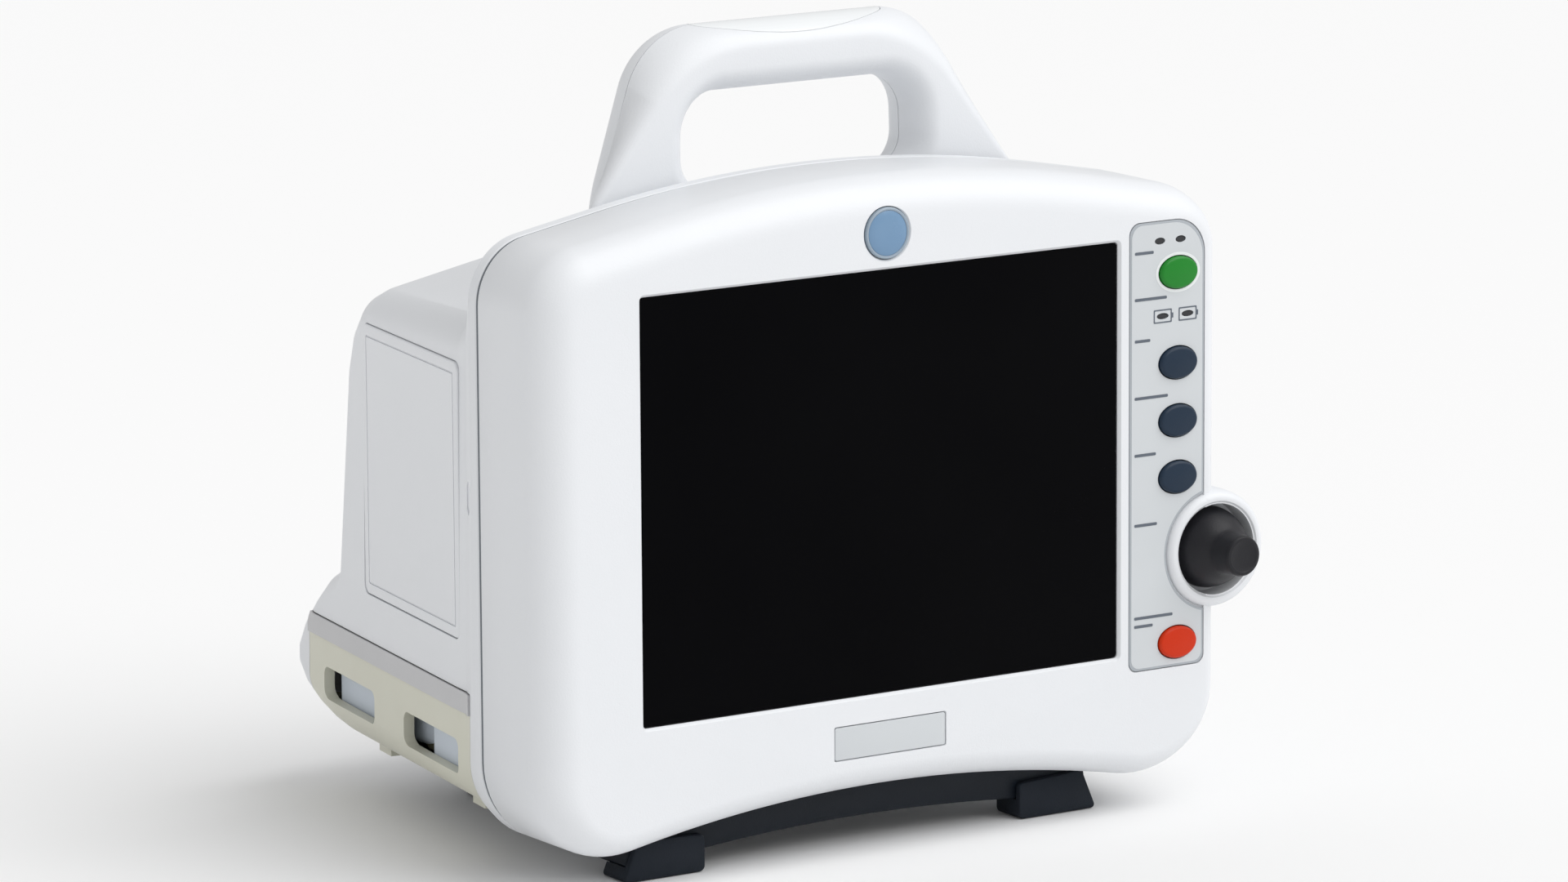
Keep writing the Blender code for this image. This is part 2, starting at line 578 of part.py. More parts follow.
# The front of the door reaches lower than its hinge, so its inner corner there is cut away.
combine(battery_door, tool("door_relief",
                           box((-0.0226, 0.0063, -0.1170), (0.0050, 0.0250, BODY_BOTTOM_Z + 0.0100)),
                           **LEFT_WALL))
for window_name, low, high in (("front_window", (-0.0615, -0.0850), (-0.0170, -0.0742)),
                               ("rear_window", (-0.1290, -0.0840), (-0.0860, -0.0735))):
    combine(battery_door, tool(window_name, plate(rounded(
        high[0] - low[0], high[1] - low[1], 0.003, (low[0] + high[0]) / 2, (low[1] + high[1]) / 2),
        -0.015, 0.016), **LEFT_WALL))
for x0, x1, owner, web in ((-0.040, -0.030, battery_door, (0.0140, DOOR_REACH - 0.0002)),
                           (-0.118, -0.108, battery_door, (0.0140, DOOR_REACH - 0.0002)),
                           (-0.0463, -0.0405, rear_housing, (DOOR_REACH + GAP + 0.0002, 0.0250)),
                           (-0.1075, -0.1017, rear_housing, (DOOR_REACH + GAP + 0.0002, 0.0250))):
    mark = "lug_%d_" % round(-x0 * 1e4)
    combine(owner, tool(mark + "web", box((x0, web[0], HINGE_Z - 0.0020),
                                          (x1, web[1], BODY_BOTTOM_Z + 0.0020)), **LEFT_WALL), 'UNION')
    combine(owner, tool(mark + "eye", rod(LUG_RADIUS, x0 + 0.0001, x1 - 0.0001, DOOR_REACH, HINGE_Z),
                        **LEFT_WALL), 'UNION')
pin_hole = tool("pin_hole", rod(PIN_RADIUS + GAP, -0.125, -0.020, DOOR_REACH, HINGE_Z), **LEFT_WALL)
combine(battery_door, pin_hole)
combine(rear_housing, pin_hole)
add("battery_door_pin", rod(PIN_RADIUS, -0.1185, -0.0295, DOOR_REACH, HINGE_Z), STEEL, **LEFT_WALL)

# ---- batteries, chassis and electronics --------------------------------------------------------
def cell_block(low, high):
    """A maker for a battery: a block with rounded long edges."""
    return plate(rounded(high[0] - low[0], high[2] - low[2], 0.003, (low[0] + high[0]) / 2,
                         (low[2] + high[2]) / 2), low[1], high[1])


add("battery_a", cell_block((-0.1015, 0.0520, -0.0865), (0.0480, 0.1080, -0.0640)), CELL)
add("battery_b", cell_block((-0.0905, 0.1130, -0.0865), (0.0590, 0.1690, -0.0640)), CELL)
add("battery_tray", box((-0.0930, 0.0480, -0.0615), (0.0960, 0.1500, -0.0600)), BEIGE)
main_chassis = add("main_chassis", box((-0.0850, 0.0500, -0.0592), (0.0880, 0.1370, -0.0577)), STEEL)
for x0 in (-0.0850, 0.0865):
    combine(main_chassis, tool("flange_%d" % (x0 > 0),
                               box((x0, 0.0500, -0.0592), (x0 + 0.0015, 0.1370, -0.0480))),
            'UNION')
add("main_board", box((-0.0800, 0.0550, -0.0520), (0.0600, 0.1300, -0.0504)), BOARD)
add("power_supply", box((0.0150, 0.0850, -0.0400), (0.0800, 0.1320, -0.0050)), STEEL)
add("acquisition_module", box((0.0450, 0.0500, -0.0400), (0.0860, 0.0800, 0.0300)), STEEL)
add("cuff_pump", turned([(0.0110, 0.0975), (0.0130, 0.0995), (0.0130, 0.1305), (0.0110, 0.1325)], 24),
    STEEL, (-0.050, 0, -0.030))
add("cuff_valve_block", box((-0.0250, 0.1050, -0.0390), (0.0050, 0.1250, -0.0210)), DARK)
add("speaker", turned([(0.0200, 0.0440), (0.0200, 0.0470), (0.0110, 0.0540), (0.0110, 0.0600)], 24),
    DARK, (-0.060, 0, 0.015))

# ---- parameter panel and its sockets -----------------------------------------------------------
wall_plate("parameter_panel", (0.0200, -0.0460), (0.0900, 0.0380), RIGHT_WALL, PANEL)
SOCKETS = {"ecg_socket": (0.035, 0.020, 0.0085, GREEN), "oxygen_socket": (0.075, 0.020, 0.0070, BLUE),
           "pressure_socket": (0.035, -0.008, 0.0070, DARK),
           "temperature_socket": (0.075, -0.008, 0.0070, DARK),
           "cuff_hose_port": (0.055, -0.032, 0.0070, STEEL)}
for socket_name, (x, z, radius, material) in SOCKETS.items():
    cup = turned([(radius, 0.0005), (radius, -0.0062), (radius - 0.0006, -0.0070),
                  (radius - 0.0016, -0.0070), (radius - 0.0016, -0.0008)], 24)
    add(socket_name, shifted(cup, x, z), material, **RIGHT_WALL)

# ---- rear connector panel ----------------------------------------------------------------------
BACK_WALL = dict(at=(BODY_X, 0.1488, -0.002), turn=(-math.atan(0.0085 / 0.068), 0, math.pi))
rear_panel = wall_plate("rear_connector_panel", (-0.065, -0.022), (0.065, 0.022), BACK_WALL, DARK)
REAR_SOCKETS = {"mains_inlet": (-0.044, 0.000, 0.0275, 0.0225),
                "network_socket": (-0.012, 0.000, 0.0165, 0.0145),
                "aux_socket": (0.014, 0.000, 0.0200, 0.0110), "sync_socket": (0.038, 0.000, 0.0120, 0.0120)}
for socket_name, (x, z, wide, tall) in REAR_SOCKETS.items():
    combine(rear_panel, tool(socket_name + "_hole", plate(rounded(
        wide + 2 * GAP, tall + 2 * GAP, 0.002 + GAP, x, z), -0.01, 0.02), **BACK_WALL))
    socket = add(socket_name, plate(rounded(wide, tall, 0.002, x, z), -0.0015, 0.0110), DARK, **BACK_WALL)
    combine(socket, tool(socket_name + "_cavity", plate(rounded(
        wide - 0.004, tall - 0.004, 0.001, x, z), -0.01, 0.0095), **BACK_WALL))
combine(rear_panel, tool("stud_hole", shifted(turned([(0.0033, -0.01), (0.0033, 0.02)], 16), 0.056, 0),
                         **BACK_WALL))
add("ground_stud", shifted(turned([(0.0030, -0.0080), (0.0030, 0.0060)], 16), 0.056, 0), STEEL, **BACK_WALL)

# ---- underside ---------------------------------------------------------------------------------
add("base_plate", box((BODY_X - 0.0720, 0.0580, BODY_BOTTOM_Z - 0.0034),
                      (BODY_X + 0.0720, 0.1500, BODY_BOTTOM_Z - 0.0004)), STEEL)


def post(radius, z0, z1, steps=24):
    """A maker for an upright round post with a softened lower edge."""
    return loft([[Vector((r * math.cos(2 * math.pi * k / steps), r * math.sin(2 * math.pi * k / steps), z))
                  for k in range(steps)]
                 for r, z in ((radius - 0.001, z0), (radius, z0 + 0.001), (radius, z1))])


for foot_name, side in (("rear_foot_left", -1), ("rear_foot_right", 1)):
    add(foot_name, post(0.010, FLOOR_Z, BODY_BOTTOM_Z - 0.0037), RUBBER, (BODY_X + side * 0.055, 0.138, 0))
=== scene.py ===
"""A portable bedside monitor: moulded casing with a carrying handle, a black display, a column of
keys with a control knob, a dark foot bar and a battery door in the left side.

Lengths are in metres. Shapes are drawn in the display's own frame: X to the viewer's right, Y back
from the front face, Z up, with zero at the middle of the display.
"""
import json
import math

import bmesh
import bpy
from mathutils import Euler, Matrix, Vector


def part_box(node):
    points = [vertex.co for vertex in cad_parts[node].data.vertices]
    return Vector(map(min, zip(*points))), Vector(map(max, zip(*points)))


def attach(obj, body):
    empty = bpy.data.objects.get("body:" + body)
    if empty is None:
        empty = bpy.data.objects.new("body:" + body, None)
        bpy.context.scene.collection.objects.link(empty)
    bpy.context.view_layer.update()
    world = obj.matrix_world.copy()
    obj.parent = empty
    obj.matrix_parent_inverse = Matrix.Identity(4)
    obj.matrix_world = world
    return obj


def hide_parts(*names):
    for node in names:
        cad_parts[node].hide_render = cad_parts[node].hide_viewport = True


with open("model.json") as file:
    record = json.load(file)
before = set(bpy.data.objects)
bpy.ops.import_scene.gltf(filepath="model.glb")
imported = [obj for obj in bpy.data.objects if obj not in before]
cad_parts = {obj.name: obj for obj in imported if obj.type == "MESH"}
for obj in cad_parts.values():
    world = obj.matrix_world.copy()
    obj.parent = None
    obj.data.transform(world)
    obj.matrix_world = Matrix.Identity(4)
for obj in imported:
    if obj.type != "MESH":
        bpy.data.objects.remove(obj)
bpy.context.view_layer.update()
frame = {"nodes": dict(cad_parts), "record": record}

# ---- sizes shared with the solid model -----------------------------------------------------------
GAP = 0.0003
WALL = 0.003
SCREEN_WIDTH, SCREEN_HEIGHT = 0.172, 0.129
BODY_X = 0.0018
BODY_HALF_WIDTH = 0.1220
SEAM_Y = 0.036
SOFT_EDGE, RIGHT_EDGE, RIGHT_EDGE_DEPTH, BOTTOM_EDGE = 0.012, 0.005, 0.006, 0.0085
SIDE_TAPER, TAPER_START_Y, SIDE_DRAFT = 0.167, 0.040, 0.012
KNOB_X, KNOB_Z = 0.1225, -0.0345
BULGE_RADIUS, WELL_RADIUS = 0.0185, 0.0142
HANDLE_FRONT_Y, HANDLE_REAR_Y, HANDLE_TOP_Z = 0.044, 0.068, 0.1345
BODY_BOTTOM_Z, REAR_NOSE_Y = -0.095, 0.188
CREASE = math.radians(32)         # faces that meet more steeply than this shade as a sharp edge

window_low, window_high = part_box("display_window")
ZERO = Vector(((window_low[0] + window_high[0]) / 2, window_low[1] - 0.0009,
               (window_low[2] + window_high[2]) / 2))
FLOOR_Z = -ZERO.z


# ---- shader node groups --------------------------------------------------------------------------
def new_group(name, inputs, outputs):
    """A shader node group with named sockets; returns the tree and its two end nodes."""
    tree = bpy.data.node_groups.new(name, "ShaderNodeTree")
    for socket_name, kind, value in inputs:
        socket = tree.interface.new_socket(socket_name, in_out="INPUT", socket_type="NodeSocket" + kind)
        socket.default_value = value
    for socket_name, kind in outputs:
        tree.interface.new_socket(socket_name, in_out="OUTPUT", socket_type="NodeSocket" + kind)
    return tree, tree.nodes.new("NodeGroupInput"), tree.nodes.new("NodeGroupOutput")


def node(tree, kind, settings=None, **sockets):
    """A node with its settings and inputs given by name; a value may be another node's output."""
    made = tree.nodes.new("ShaderNode" + kind)
    for key, value in (settings or {}).items():
        setattr(made, key, value)
    for key, value in sockets.items():
        key = key.replace("_", " ")
        numbered = key.startswith("at") and key[2:].isdigit()
        socket = made.inputs[int(key[2:]) if numbered else key]
        if isinstance(value, bpy.types.NodeSocket):
            tree.links.new(value, socket)
        else:
            socket.default_value = value
    return made


def build_moulded_skin():
    """Moulded plastic: spark-eroded grain, slow mottling of tone, and patches worn a little shinier."""
    tree, given, out = new_group("moulded_skin", [
        ("Tone", "Color", (0.8, 0.8, 0.8, 1)), ("Second Tone", "Color", (0.7, 0.7, 0.7, 1)),
        ("Grain Size", "Float", 0.0005), ("Grain Depth", "Float", 0.2), ("Mottle", "Float", 0.3),
        ("Roughness Low", "Float", 0.4), ("Roughness High", "Float", 0.55)],
        [("Color", "Color"), ("Roughness", "Float"), ("Height", "Float"), ("Normal", "Vector")])
    place = node(tree, "TexCoord").outputs["Object"]
    pitch = node(tree, "Math", {"operation": "DIVIDE"}, at0=1.0, at1=given.outputs["Grain Size"])
    grain = node(tree, "TexNoise", Vector=place, Scale=pitch.outputs[0], Detail=2.0, Roughness=0.6)
    slow = node(tree, "TexNoise", Vector=place, Scale=14.0, Detail=4.0, Roughness=0.6)
    fine = node(tree, "TexNoise", Vector=place, Scale=90.0, Detail=3.0, Roughness=0.55)
    mask = node(tree, "MapRange", None, Value=slow.outputs["Fac"])
    mask.inputs["From Min"].default_value, mask.inputs["From Max"].default_value = 0.38, 0.68
    share = node(tree, "Math", {"operation": "MULTIPLY"}, at0=mask.outputs[0], at1=given.outputs["Mottle"])
    tone = node(tree, "Mix", {"data_type": "RGBA"})
    tree.links.new(share.outputs[0], tone.inputs["Factor"])
    tree.links.new(given.outputs["Tone"], tone.inputs[6])
    tree.links.new(given.outputs["Second Tone"], tone.inputs[7])
    sheen = node(tree, "MapRange", None, Value=fine.outputs["Fac"])
    tree.links.new(given.outputs["Roughness Low"], sheen.inputs["To Min"])
    tree.links.new(given.outputs["Roughness High"], sheen.inputs["To Max"])
    bump = node(tree, "Bump", None, Height=grain.outputs["Fac"], Strength=given.outputs["Grain Depth"],
                Distance=0.0002)
    for name, socket in (("Color", tone.outputs[2]), ("Roughness", sheen.outputs[0]),
                         ("Height", grain.outputs["Fac"]), ("Normal", bump.outputs[0])):
        tree.links.new(socket, out.inputs[name])
    return tree


def build_brushed_grain():
    """Metal drawn along X: long fine streaks in tone, roughness and height."""
    tree, given, out = new_group("brushed_grain", [
        ("Tone", "Color", (0.6, 0.6, 0.6, 1)), ("Streak Tone", "Color", (0.5, 0.5, 0.5, 1)),
        ("Streaks", "Float", 400.0), ("Roughness Low", "Float", 0.3), ("Roughness High", "Float", 0.5)],
        [("Color", "Color"), ("Roughness", "Float"), ("Normal", "Vector")])
    place = node(tree, "TexCoord").outputs["Object"]
    stretch = node(tree, "Mapping", None, Vector=place)
    stretch.inputs["Scale"].default_value = (0.03, 1.0, 1.0)
    streak = node(tree, "TexNoise", Vector=stretch.outputs[0], Scale=given.outputs["Streaks"], Detail=3.0)
    tone = node(tree, "Mix", {"data_type": "RGBA"})
    tree.links.new(streak.outputs["Fac"], tone.inputs["Factor"])
    tree.links.new(given.outputs["Tone"], tone.inputs[6])
    tree.links.new(given.outputs["Streak Tone"], tone.inputs[7])
    rough = node(tree, "MapRange", None, Value=streak.outputs["Fac"])
    tree.links.new(given.outputs["Roughness Low"], rough.inputs["To Min"])
    tree.links.new(given.outputs["Roughness High"], rough.inputs["To Max"])
    bump = node(tree, "Bump", None, Height=streak.outputs["Fac"], Strength=0.15, Distance=0.0002)
    for name, socket in (("Color", tone.outputs[2]), ("Roughness", rough.outputs[0]),
                         ("Normal", bump.outputs[0])):
        tree.links.new(socket, out.inputs[name])
    return tree


MOULDED = build_moulded_skin()
BRUSHED = build_brushed_grain()


# ---- materials -----------------------------------------------------------------------------------
def start_material(name):
    """An empty material with its shader."""
    material = bpy.data.materials.new(name)
    material.use_nodes = True
    return material, material.node_tree, material.node_tree.nodes["Principled BSDF"]


def use_group(tree, group, values):
    """A group placed in a material with its own values."""
    placed = tree.nodes.new("ShaderNodeGroup")
    placed.node_tree = group
    for name, value in values.items():
        placed.inputs[name].default_value = (*value, 1.0) if isinstance(value, tuple) else value
    return placed


def moulded(name, tone, second, roughness, grain=0.0006, depth=0.2, mottle=0.35, specular=0.5):
    """A moulded plastic or rubber finish."""
    material, tree, shader = start_material(name)
    skin = use_group(tree, MOULDED, {
        "Tone": tone, "Second Tone": second, "Grain Size": grain, "Grain Depth": depth,
        "Mottle": mottle, "Roughness Low": roughness - 0.06, "Roughness High": roughness + 0.06})
    tree.links.new(skin.outputs["Color"], shader.inputs["Base Color"])
    tree.links.new(skin.outputs["Roughness"], shader.inputs["Roughness"])
    tree.links.new(skin.outputs["Normal"], shader.inputs["Normal"])
    shader.inputs["Specular IOR Level"].default_value = specular
    return material


def brushed(name, tone, streak_tone, roughness):
    """A bright plated metal finish."""
    material, tree, shader = start_material(name)
    grain = use_group(tree, BRUSHED, {"Tone": tone, "Streak Tone": streak_tone,
                                      "Roughness Low": roughness - 0.08, "Roughness High": roughness + 0.08})
    for socket in ("Color", "Roughness", "Normal"):
        tree.links.new(grain.outputs[socket], shader.inputs["Base Color" if socket == "Color" else socket])
    shader.inputs["Metallic"].default_value = 1.0
    return material


white_casing = moulded("white_casing", (0.775, 0.790, 0.815), (0.745, 0.765, 0.790), 0.40, depth=0.22)
key_film = moulded("key_film", (0.60, 0.625, 0.645), (0.57, 0.60, 0.62), 0.38, grain=0.0003, depth=0.10)
film_border = moulded("film_border", (0.40, 0.43, 0.46), (0.37, 0.40, 0.43), 0.42, grain=0.0003, depth=0.1)
print_ink = moulded("print_ink", (0.10, 0.12, 0.15), (0.14, 0.16, 0.19), 0.5, grain=0.0003, depth=0.05)
pale_ink = moulded("pale_ink", (0.80, 0.82, 0.83), (0.74, 0.77, 0.78), 0.45, grain=0.0003, depth=0.05)
display_glass = moulded("display_glass", (0.001, 0.001, 0.0015), (0.002, 0.002, 0.0025), 0.22, grain=0.004,
                        depth=0.01, mottle=0.5, specular=0.03)
aged_cover = moulded("aged_cover", (0.68, 0.675, 0.57), (0.61, 0.60, 0.50), 0.42)
# Painted shade: the dark tone of the shadow in the empty end of the door's front window.
window_gap_shadow = moulded("window_gap_shadow", (0.10, 0.095, 0.06), (0.07, 0.065, 0.04), 0.6)
lip_grey = moulded("lip_grey", (0.56, 0.56, 0.57), (0.50, 0.50, 0.51), 0.42)
base_moulding = moulded("base_moulding", (0.003, 0.006, 0.011), (0.006, 0.010, 0.017), 0.5, depth=0.3,
                        specular=0.25)
foot_rubber = moulded("foot_rubber", (0.008, 0.012, 0.019), (0.016, 0.020, 0.027), 0.7, grain=0.0008,
                      depth=0.5, specular=0.25)
dark_key = moulded("dark_key", (0.008, 0.022, 0.045), (0.012, 0.028, 0.054), 0.40, specular=0.3)
power_key = moulded("power_key", (0.005, 0.21, 0.014), (0.008, 0.18, 0.016), 0.36, specular=0.35)
silence_key = moulded("silence_key", (0.60, 0.028, 0.0), (0.54, 0.026, 0.0), 0.38, specular=0.25)
knob_rubber = moulded("knob_rubber", (0.006, 0.006, 0.009), (0.011, 0.011, 0.015), 0.46, depth=0.3,
                      specular=0.35)
badge_blue = moulded("badge_blue", (0.15, 0.27, 0.43), (0.22, 0.35, 0.50), 0.25, depth=0.05, mottle=0.7)
plated_steel = brushed("plated_steel", (0.62, 0.63, 0.64), (0.50, 0.51, 0.52), 0.34)
circuit_board = moulded("circuit_board", (0.012, 0.13, 0.045), (0.020, 0.17, 0.06), 0.35, grain=0.0012)
dark_plastic = moulded("dark_plastic", (0.022, 0.023, 0.026), (0.034, 0.035, 0.038), 0.5)
battery_case = moulded("battery_case", (0.60, 0.66, 0.74), (0.52, 0.58, 0.66), 0.45)
lamp_lens = moulded("lamp_lens", (0.84, 0.86, 0.87), (0.78, 0.80, 0.82), 0.24, grain=0.001, depth=0.08)
badge_rim = moulded("badge_rim", (0.30, 0.37, 0.44), (0.42, 0.48, 0.54), 0.3, depth=0.05)
seam_shadow = moulded("seam_shadow", (0.16, 0.18, 0.20), (0.12, 0.13, 0.15), 0.7)

SLOT_FINISH = {
    "white_casing": white_casing, "key_panel": key_film, "display_glass": display_glass,
    "aged_cover": aged_cover, "base_moulding": base_moulding, "foot_rubber": foot_rubber,
    "dark_key": dark_key, "power_key": power_key, "silence_key": silence_key,
    "knob_rubber": knob_rubber, "badge_blue": badge_blue, "plated_steel": plated_steel,
    "circuit_board": circuit_board, "dark_plastic": dark_plastic, "battery_case": battery_case,
    "lamp_lens": lamp_lens}
for subpart in frame["record"]["subparts"]:
    cad_mesh = frame["nodes"][subpart["node"]].data
    cad_mesh.materials.clear()
    cad_mesh.materials.append(SLOT_FINISH[subpart["material_slot"]])


# ---- outlines and mesh makers --------------------------------------------------------------------
def outline(corners):
    """A closed outline in X and Z as points with outward normals; a corner is (x, z, reach, steps)."""
    result = []
    for i, (x, z, reach, steps) in enumerate(corners):
        here = Vector((x, z))
        into = (here - Vector(corners[i - 1][:2])).normalized()
        out = (Vector(corners[(i + 1) % len(corners)][:2]) - here).normalized()
        turn = math.atan2(into.x * out.y - into.y * out.x, into.dot(out))
        start = here - into * reach
        normal = Vector((into.y, -into.x))
        if abs(turn) < 1e-6:
            result += [(start + into * (2 * reach * k / steps), normal) for k in range(steps + 1)]
            continue
        radius = reach / math.tan(turn / 2)
        centre = start - normal * radius
        for k in range(steps + 1):
            spun = normal.copy()
            spun.rotate(Matrix.Rotation(turn * k / steps, 2))
            result.append((centre + spun * radius, spun))
    return result


def ring(shape, y, inset=0.0):
    """The outline as a loop at depth y, moved inwards by inset; either may be a rule."""
    points = []
    for point, normal in shape:
        step = inset(normal) if callable(inset) else inset
        depth = y(normal) if callable(y) else y
        at = point - normal * step
        points.append(Vector((at.x, depth, at.y)))
    return points


def loft(rings, closed=False):
    """A maker that skins a row of loops, capped at both ends, or closed into a tube."""
    def make(shape):
        loops = [[shape.verts.new(p) for p in points] for points in rings]
        pairs = list(zip(loops, loops[1:]))
        if closed:
            pairs.append((loops[-1], loops[0]))
        for a, b in pairs:
            for i in range(len(a)):
                j = (i + 1) % len(a)
                shape.faces.new((a[i], a[j], b[j], b[i]))
        if not closed:
            shape.faces.new(loops[0])
            shape.faces.new(list(reversed(loops[-1])))
    return make


def prism(shape, y0, y1):
    """A maker for an outline drawn straight back from y0 to y1."""
    return loft([ring(shape, y0), ring(shape, y1)])


def block(low, high):
    """A maker for a cutting block between two corners."""
    def make(shape):
        bmesh.ops.create_cube(shape, size=1.0)
        for vert in shape.verts:
            vert.co = Vector(high[k] if vert.co[k] > 0 else low[k] for k in range(3))
    return make


def rounded(width, height, radius, x=0.0, z=0.0, steps=8):
    """Corners of a rounded rectangle about a point."""
    a, b = width / 2, height / 2
    return [(x + a, z - b, radius, steps), (x + a, z + b, radius, steps),
            (x - a, z + b, radius, steps), (x - a, z - b, radius, steps)]


def oval(width, height, x=0.0, z=0.0, steps=64):
    """An ellipse as points with normals."""
    result = []
    for k in range(steps):
        angle = 2 * math.pi * k / steps
        point = Vector((x + width / 2 * math.cos(angle), z + height / 2 * math.sin(angle)))
        result.append((point, Vector((math.cos(angle) / width, math.sin(angle) / height)).normalized()))
    return result


def soft_plate(shape, y0, y1, edge=0.0003, steps=4):
    """A maker for a flat piece from its face at y0 back to y1, with a rounded front edge."""
    arcs = [math.pi / 2 * k / steps for k in range(steps + 1)]
    return loft([ring(shape, y1)] + [ring(shape, y0 + edge * (1 - math.sin(a)), edge * (1 - math.cos(a)))
                                     for a in arcs])


def recess(shape, y_face, y_floor, lip=0.0004):
    """A maker for a cutter that sinks an outline, with a softened mouth."""
    return loft([ring(shape, y_floor), ring(shape, y_face + lip), ring(shape, y_face, -lip * 0.3),
                 ring(shape, y_face - lip, -lip * 1.3)])


def turned(profile, steps=96):
    """A maker for a piece turned about Y from (radius, y) points."""
    return loft([[Vector((radius * math.cos(2 * math.pi * k / steps), y,
                          radius * math.sin(2 * math.pi * k / steps))) for k in range(steps)]
                 for radius, y in profile])


def shifted(maker, x, z):
    """The same piece moved along X and Z."""
    def make(shape):
        maker(shape)
        for vert in shape.verts:
            vert.co += Vector((x, 0, z))
    return make


def rod(radius, x0, x1, y, z, steps=32):
    """A maker for a round bar along X."""
    return loft([[Vector((x, y + radius * math.cos(2 * math.pi * k / steps),
                          z + radius * math.sin(2 * math.pi * k / steps))) for k in range(steps)]
                 for x in (x0, x1)])


def piece(name, maker, material, at=(0, 0, 0), turn=(0, 0, 0)):
    """A named piece made in the display's frame and set down in the object's."""
    mesh = bpy.data.meshes.new(name)
    shape = bmesh.new()
    maker(shape)
    bmesh.ops.remove_doubles(shape, verts=shape.verts, dist=1e-6)
    bmesh.ops.recalc_face_normals(shape, faces=shape.faces)
    if shape.calc_volume(signed=True) < 0:
        bmesh.ops.reverse_faces(shape, faces=shape.faces)
    shape.transform(Matrix.Translation(ZERO + Vector(at)) @ Euler(turn).to_matrix().to_4x4())
    shape.to_mesh(mesh)
    shape.free()
    made = bpy.data.objects.new(name, mesh)
    bpy.context.scene.collection.objects.link(made)
    mesh.materials.append(material)
    smooth(made)
    return made


def smooth(made):
    """Smooth shading with sharp creases where faces meet steeply."""
    made.data.shade_smooth()
    made.data.set_sharp_from_angle(angle=CREASE)


def combine(target, helper, operation="DIFFERENCE"):
    """Cuts, joins or keeps a helper piece in another, for good, and removes the helper."""
    step = target.modifiers.new("carve", "BOOLEAN")
    step.operation, step.solver, step.object = operation, "EXACT", helper
    bpy.context.view_layer.update()
    cut = bpy.data.meshes.new_from_object(target.evaluated_get(bpy.context.evaluated_depsgraph_get()))
    target.modifiers.remove(step)
    target.data = cut
    bpy.data.objects.remove(helper, do_unlink=True)
    smooth(target)


def carve(target, maker, operation="DIFFERENCE", at=(0, 0, 0), turn=(0, 0, 0)):
    """Combines a shape with a piece, in the display's frame or in a wall's."""
    combine(target, piece("helper", maker, target.data.materials[0], at, turn), operation)


def fit(made, body, slot, *cad_nodes):
    """Attaches a piece to what it moves with and hides the solids it stands for; the slot is not used."""
    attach(made, body)
    if cad_nodes:
        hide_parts(*cad_nodes)
    return made


# ---- case outlines -------------------------------------------------------------------------------
def case_corners(half_width, shoulder_z, rise, bottom_z, arch, draft=0.0, top=0.0166, bottom=0.0327):
    """Corners of the case's cross-section: crowned roof, arched underside, rounded corners."""
    left, right = BODY_X - half_width, BODY_X + half_width
    return [
        (BODY_X, bottom_z + arch, half_width * 0.72, 24), (right, bottom_z, bottom, 18),
        (right - draft, shoulder_z, top, 18), (BODY_X, shoulder_z + rise, half_width * 0.66, 24),
        (left + draft, shoulder_z, top, 18), (left, bottom_z, bottom, 18)]


FRONT_SECTION = case_corners(BODY_HALF_WIDTH, 0.0769, 0.0227, -0.1095, 0.0235)


def body_section(y, shoulder_z, bottom_z, top, bottom):
    """Cross-section of the rear body at depth y."""
    half = BODY_HALF_WIDTH - 0.001 - SIDE_TAPER * (y - TAPER_START_Y)
    draft = SIDE_DRAFT * (shoulder_z - bottom_z)
    return case_corners(half, shoulder_z, 0.19 * half, bottom_z, 0.0004, draft, top, bottom)


def mixed(first, second, share):
    """Corners part of the way from one section to another."""
    return [tuple(a + (b - a) * share for a, b in zip(p[:3], q[:3])) + (p[3],)
            for p, q in zip(first, second)]


ROOF_FRONT = body_section(0.057, 0.0520, BODY_BOTTOM_Z, 0.010, 0.014)
REAR_STATIONS = [
    (SEAM_Y + GAP, FRONT_SECTION), (0.041, FRONT_SECTION), (0.045, mixed(FRONT_SECTION, ROOF_FRONT, 0.35)),
    (0.050, mixed(FRONT_SECTION, ROOF_FRONT, 0.78)), (0.057, ROOF_FRONT),
    (0.128, body_section(0.128, 0.0490, BODY_BOTTOM_Z, 0.009, 0.014)),
    (0.136, body_section(0.136, 0.0460, BODY_BOTTOM_Z, 0.009, 0.014)),
    (0.141, body_section(0.141, 0.0405, BODY_BOTTOM_Z, 0.009, 0.014)),
    (0.1445, body_section(0.1445, 0.0310, BODY_BOTTOM_Z, 0.009, 0.014)),
    (0.153, body_section(0.153, -0.0370, BODY_BOTTOM_Z, 0.007, 0.014)),
    (0.157, body_section(0.157, -0.0415, BODY_BOTTOM_Z, 0.007, 0.014)),
    (0.167, body_section(0.167, -0.0460, -0.0942, 0.007, 0.014)),
    (0.1765, body_section(0.1765, -0.0530, -0.0918, 0.007, 0.013)),
    (0.184, body_section(0.184, -0.0610, -0.0865, 0.005, 0.009)),
    (REAR_NOSE_Y, body_section(REAR_NOSE_Y, -0.0685, -0.0790, 0.003, 0.004))]


def front_edge(normal):
    """Rounding of the bezel's front edge, by the way the edge faces."""
    return SOFT_EDGE - (SOFT_EDGE - RIGHT_EDGE) * max(0.0, normal.x) ** 2 \
        - (SOFT_EDGE - BOTTOM_EDGE) * max(0.0, -normal.y) ** 2


def front_depth(normal):
    """How far back that rounding reaches."""
    return SOFT_EDGE - (SOFT_EDGE - RIGHT_EDGE_DEPTH) * max(0.0, normal.x) ** 2


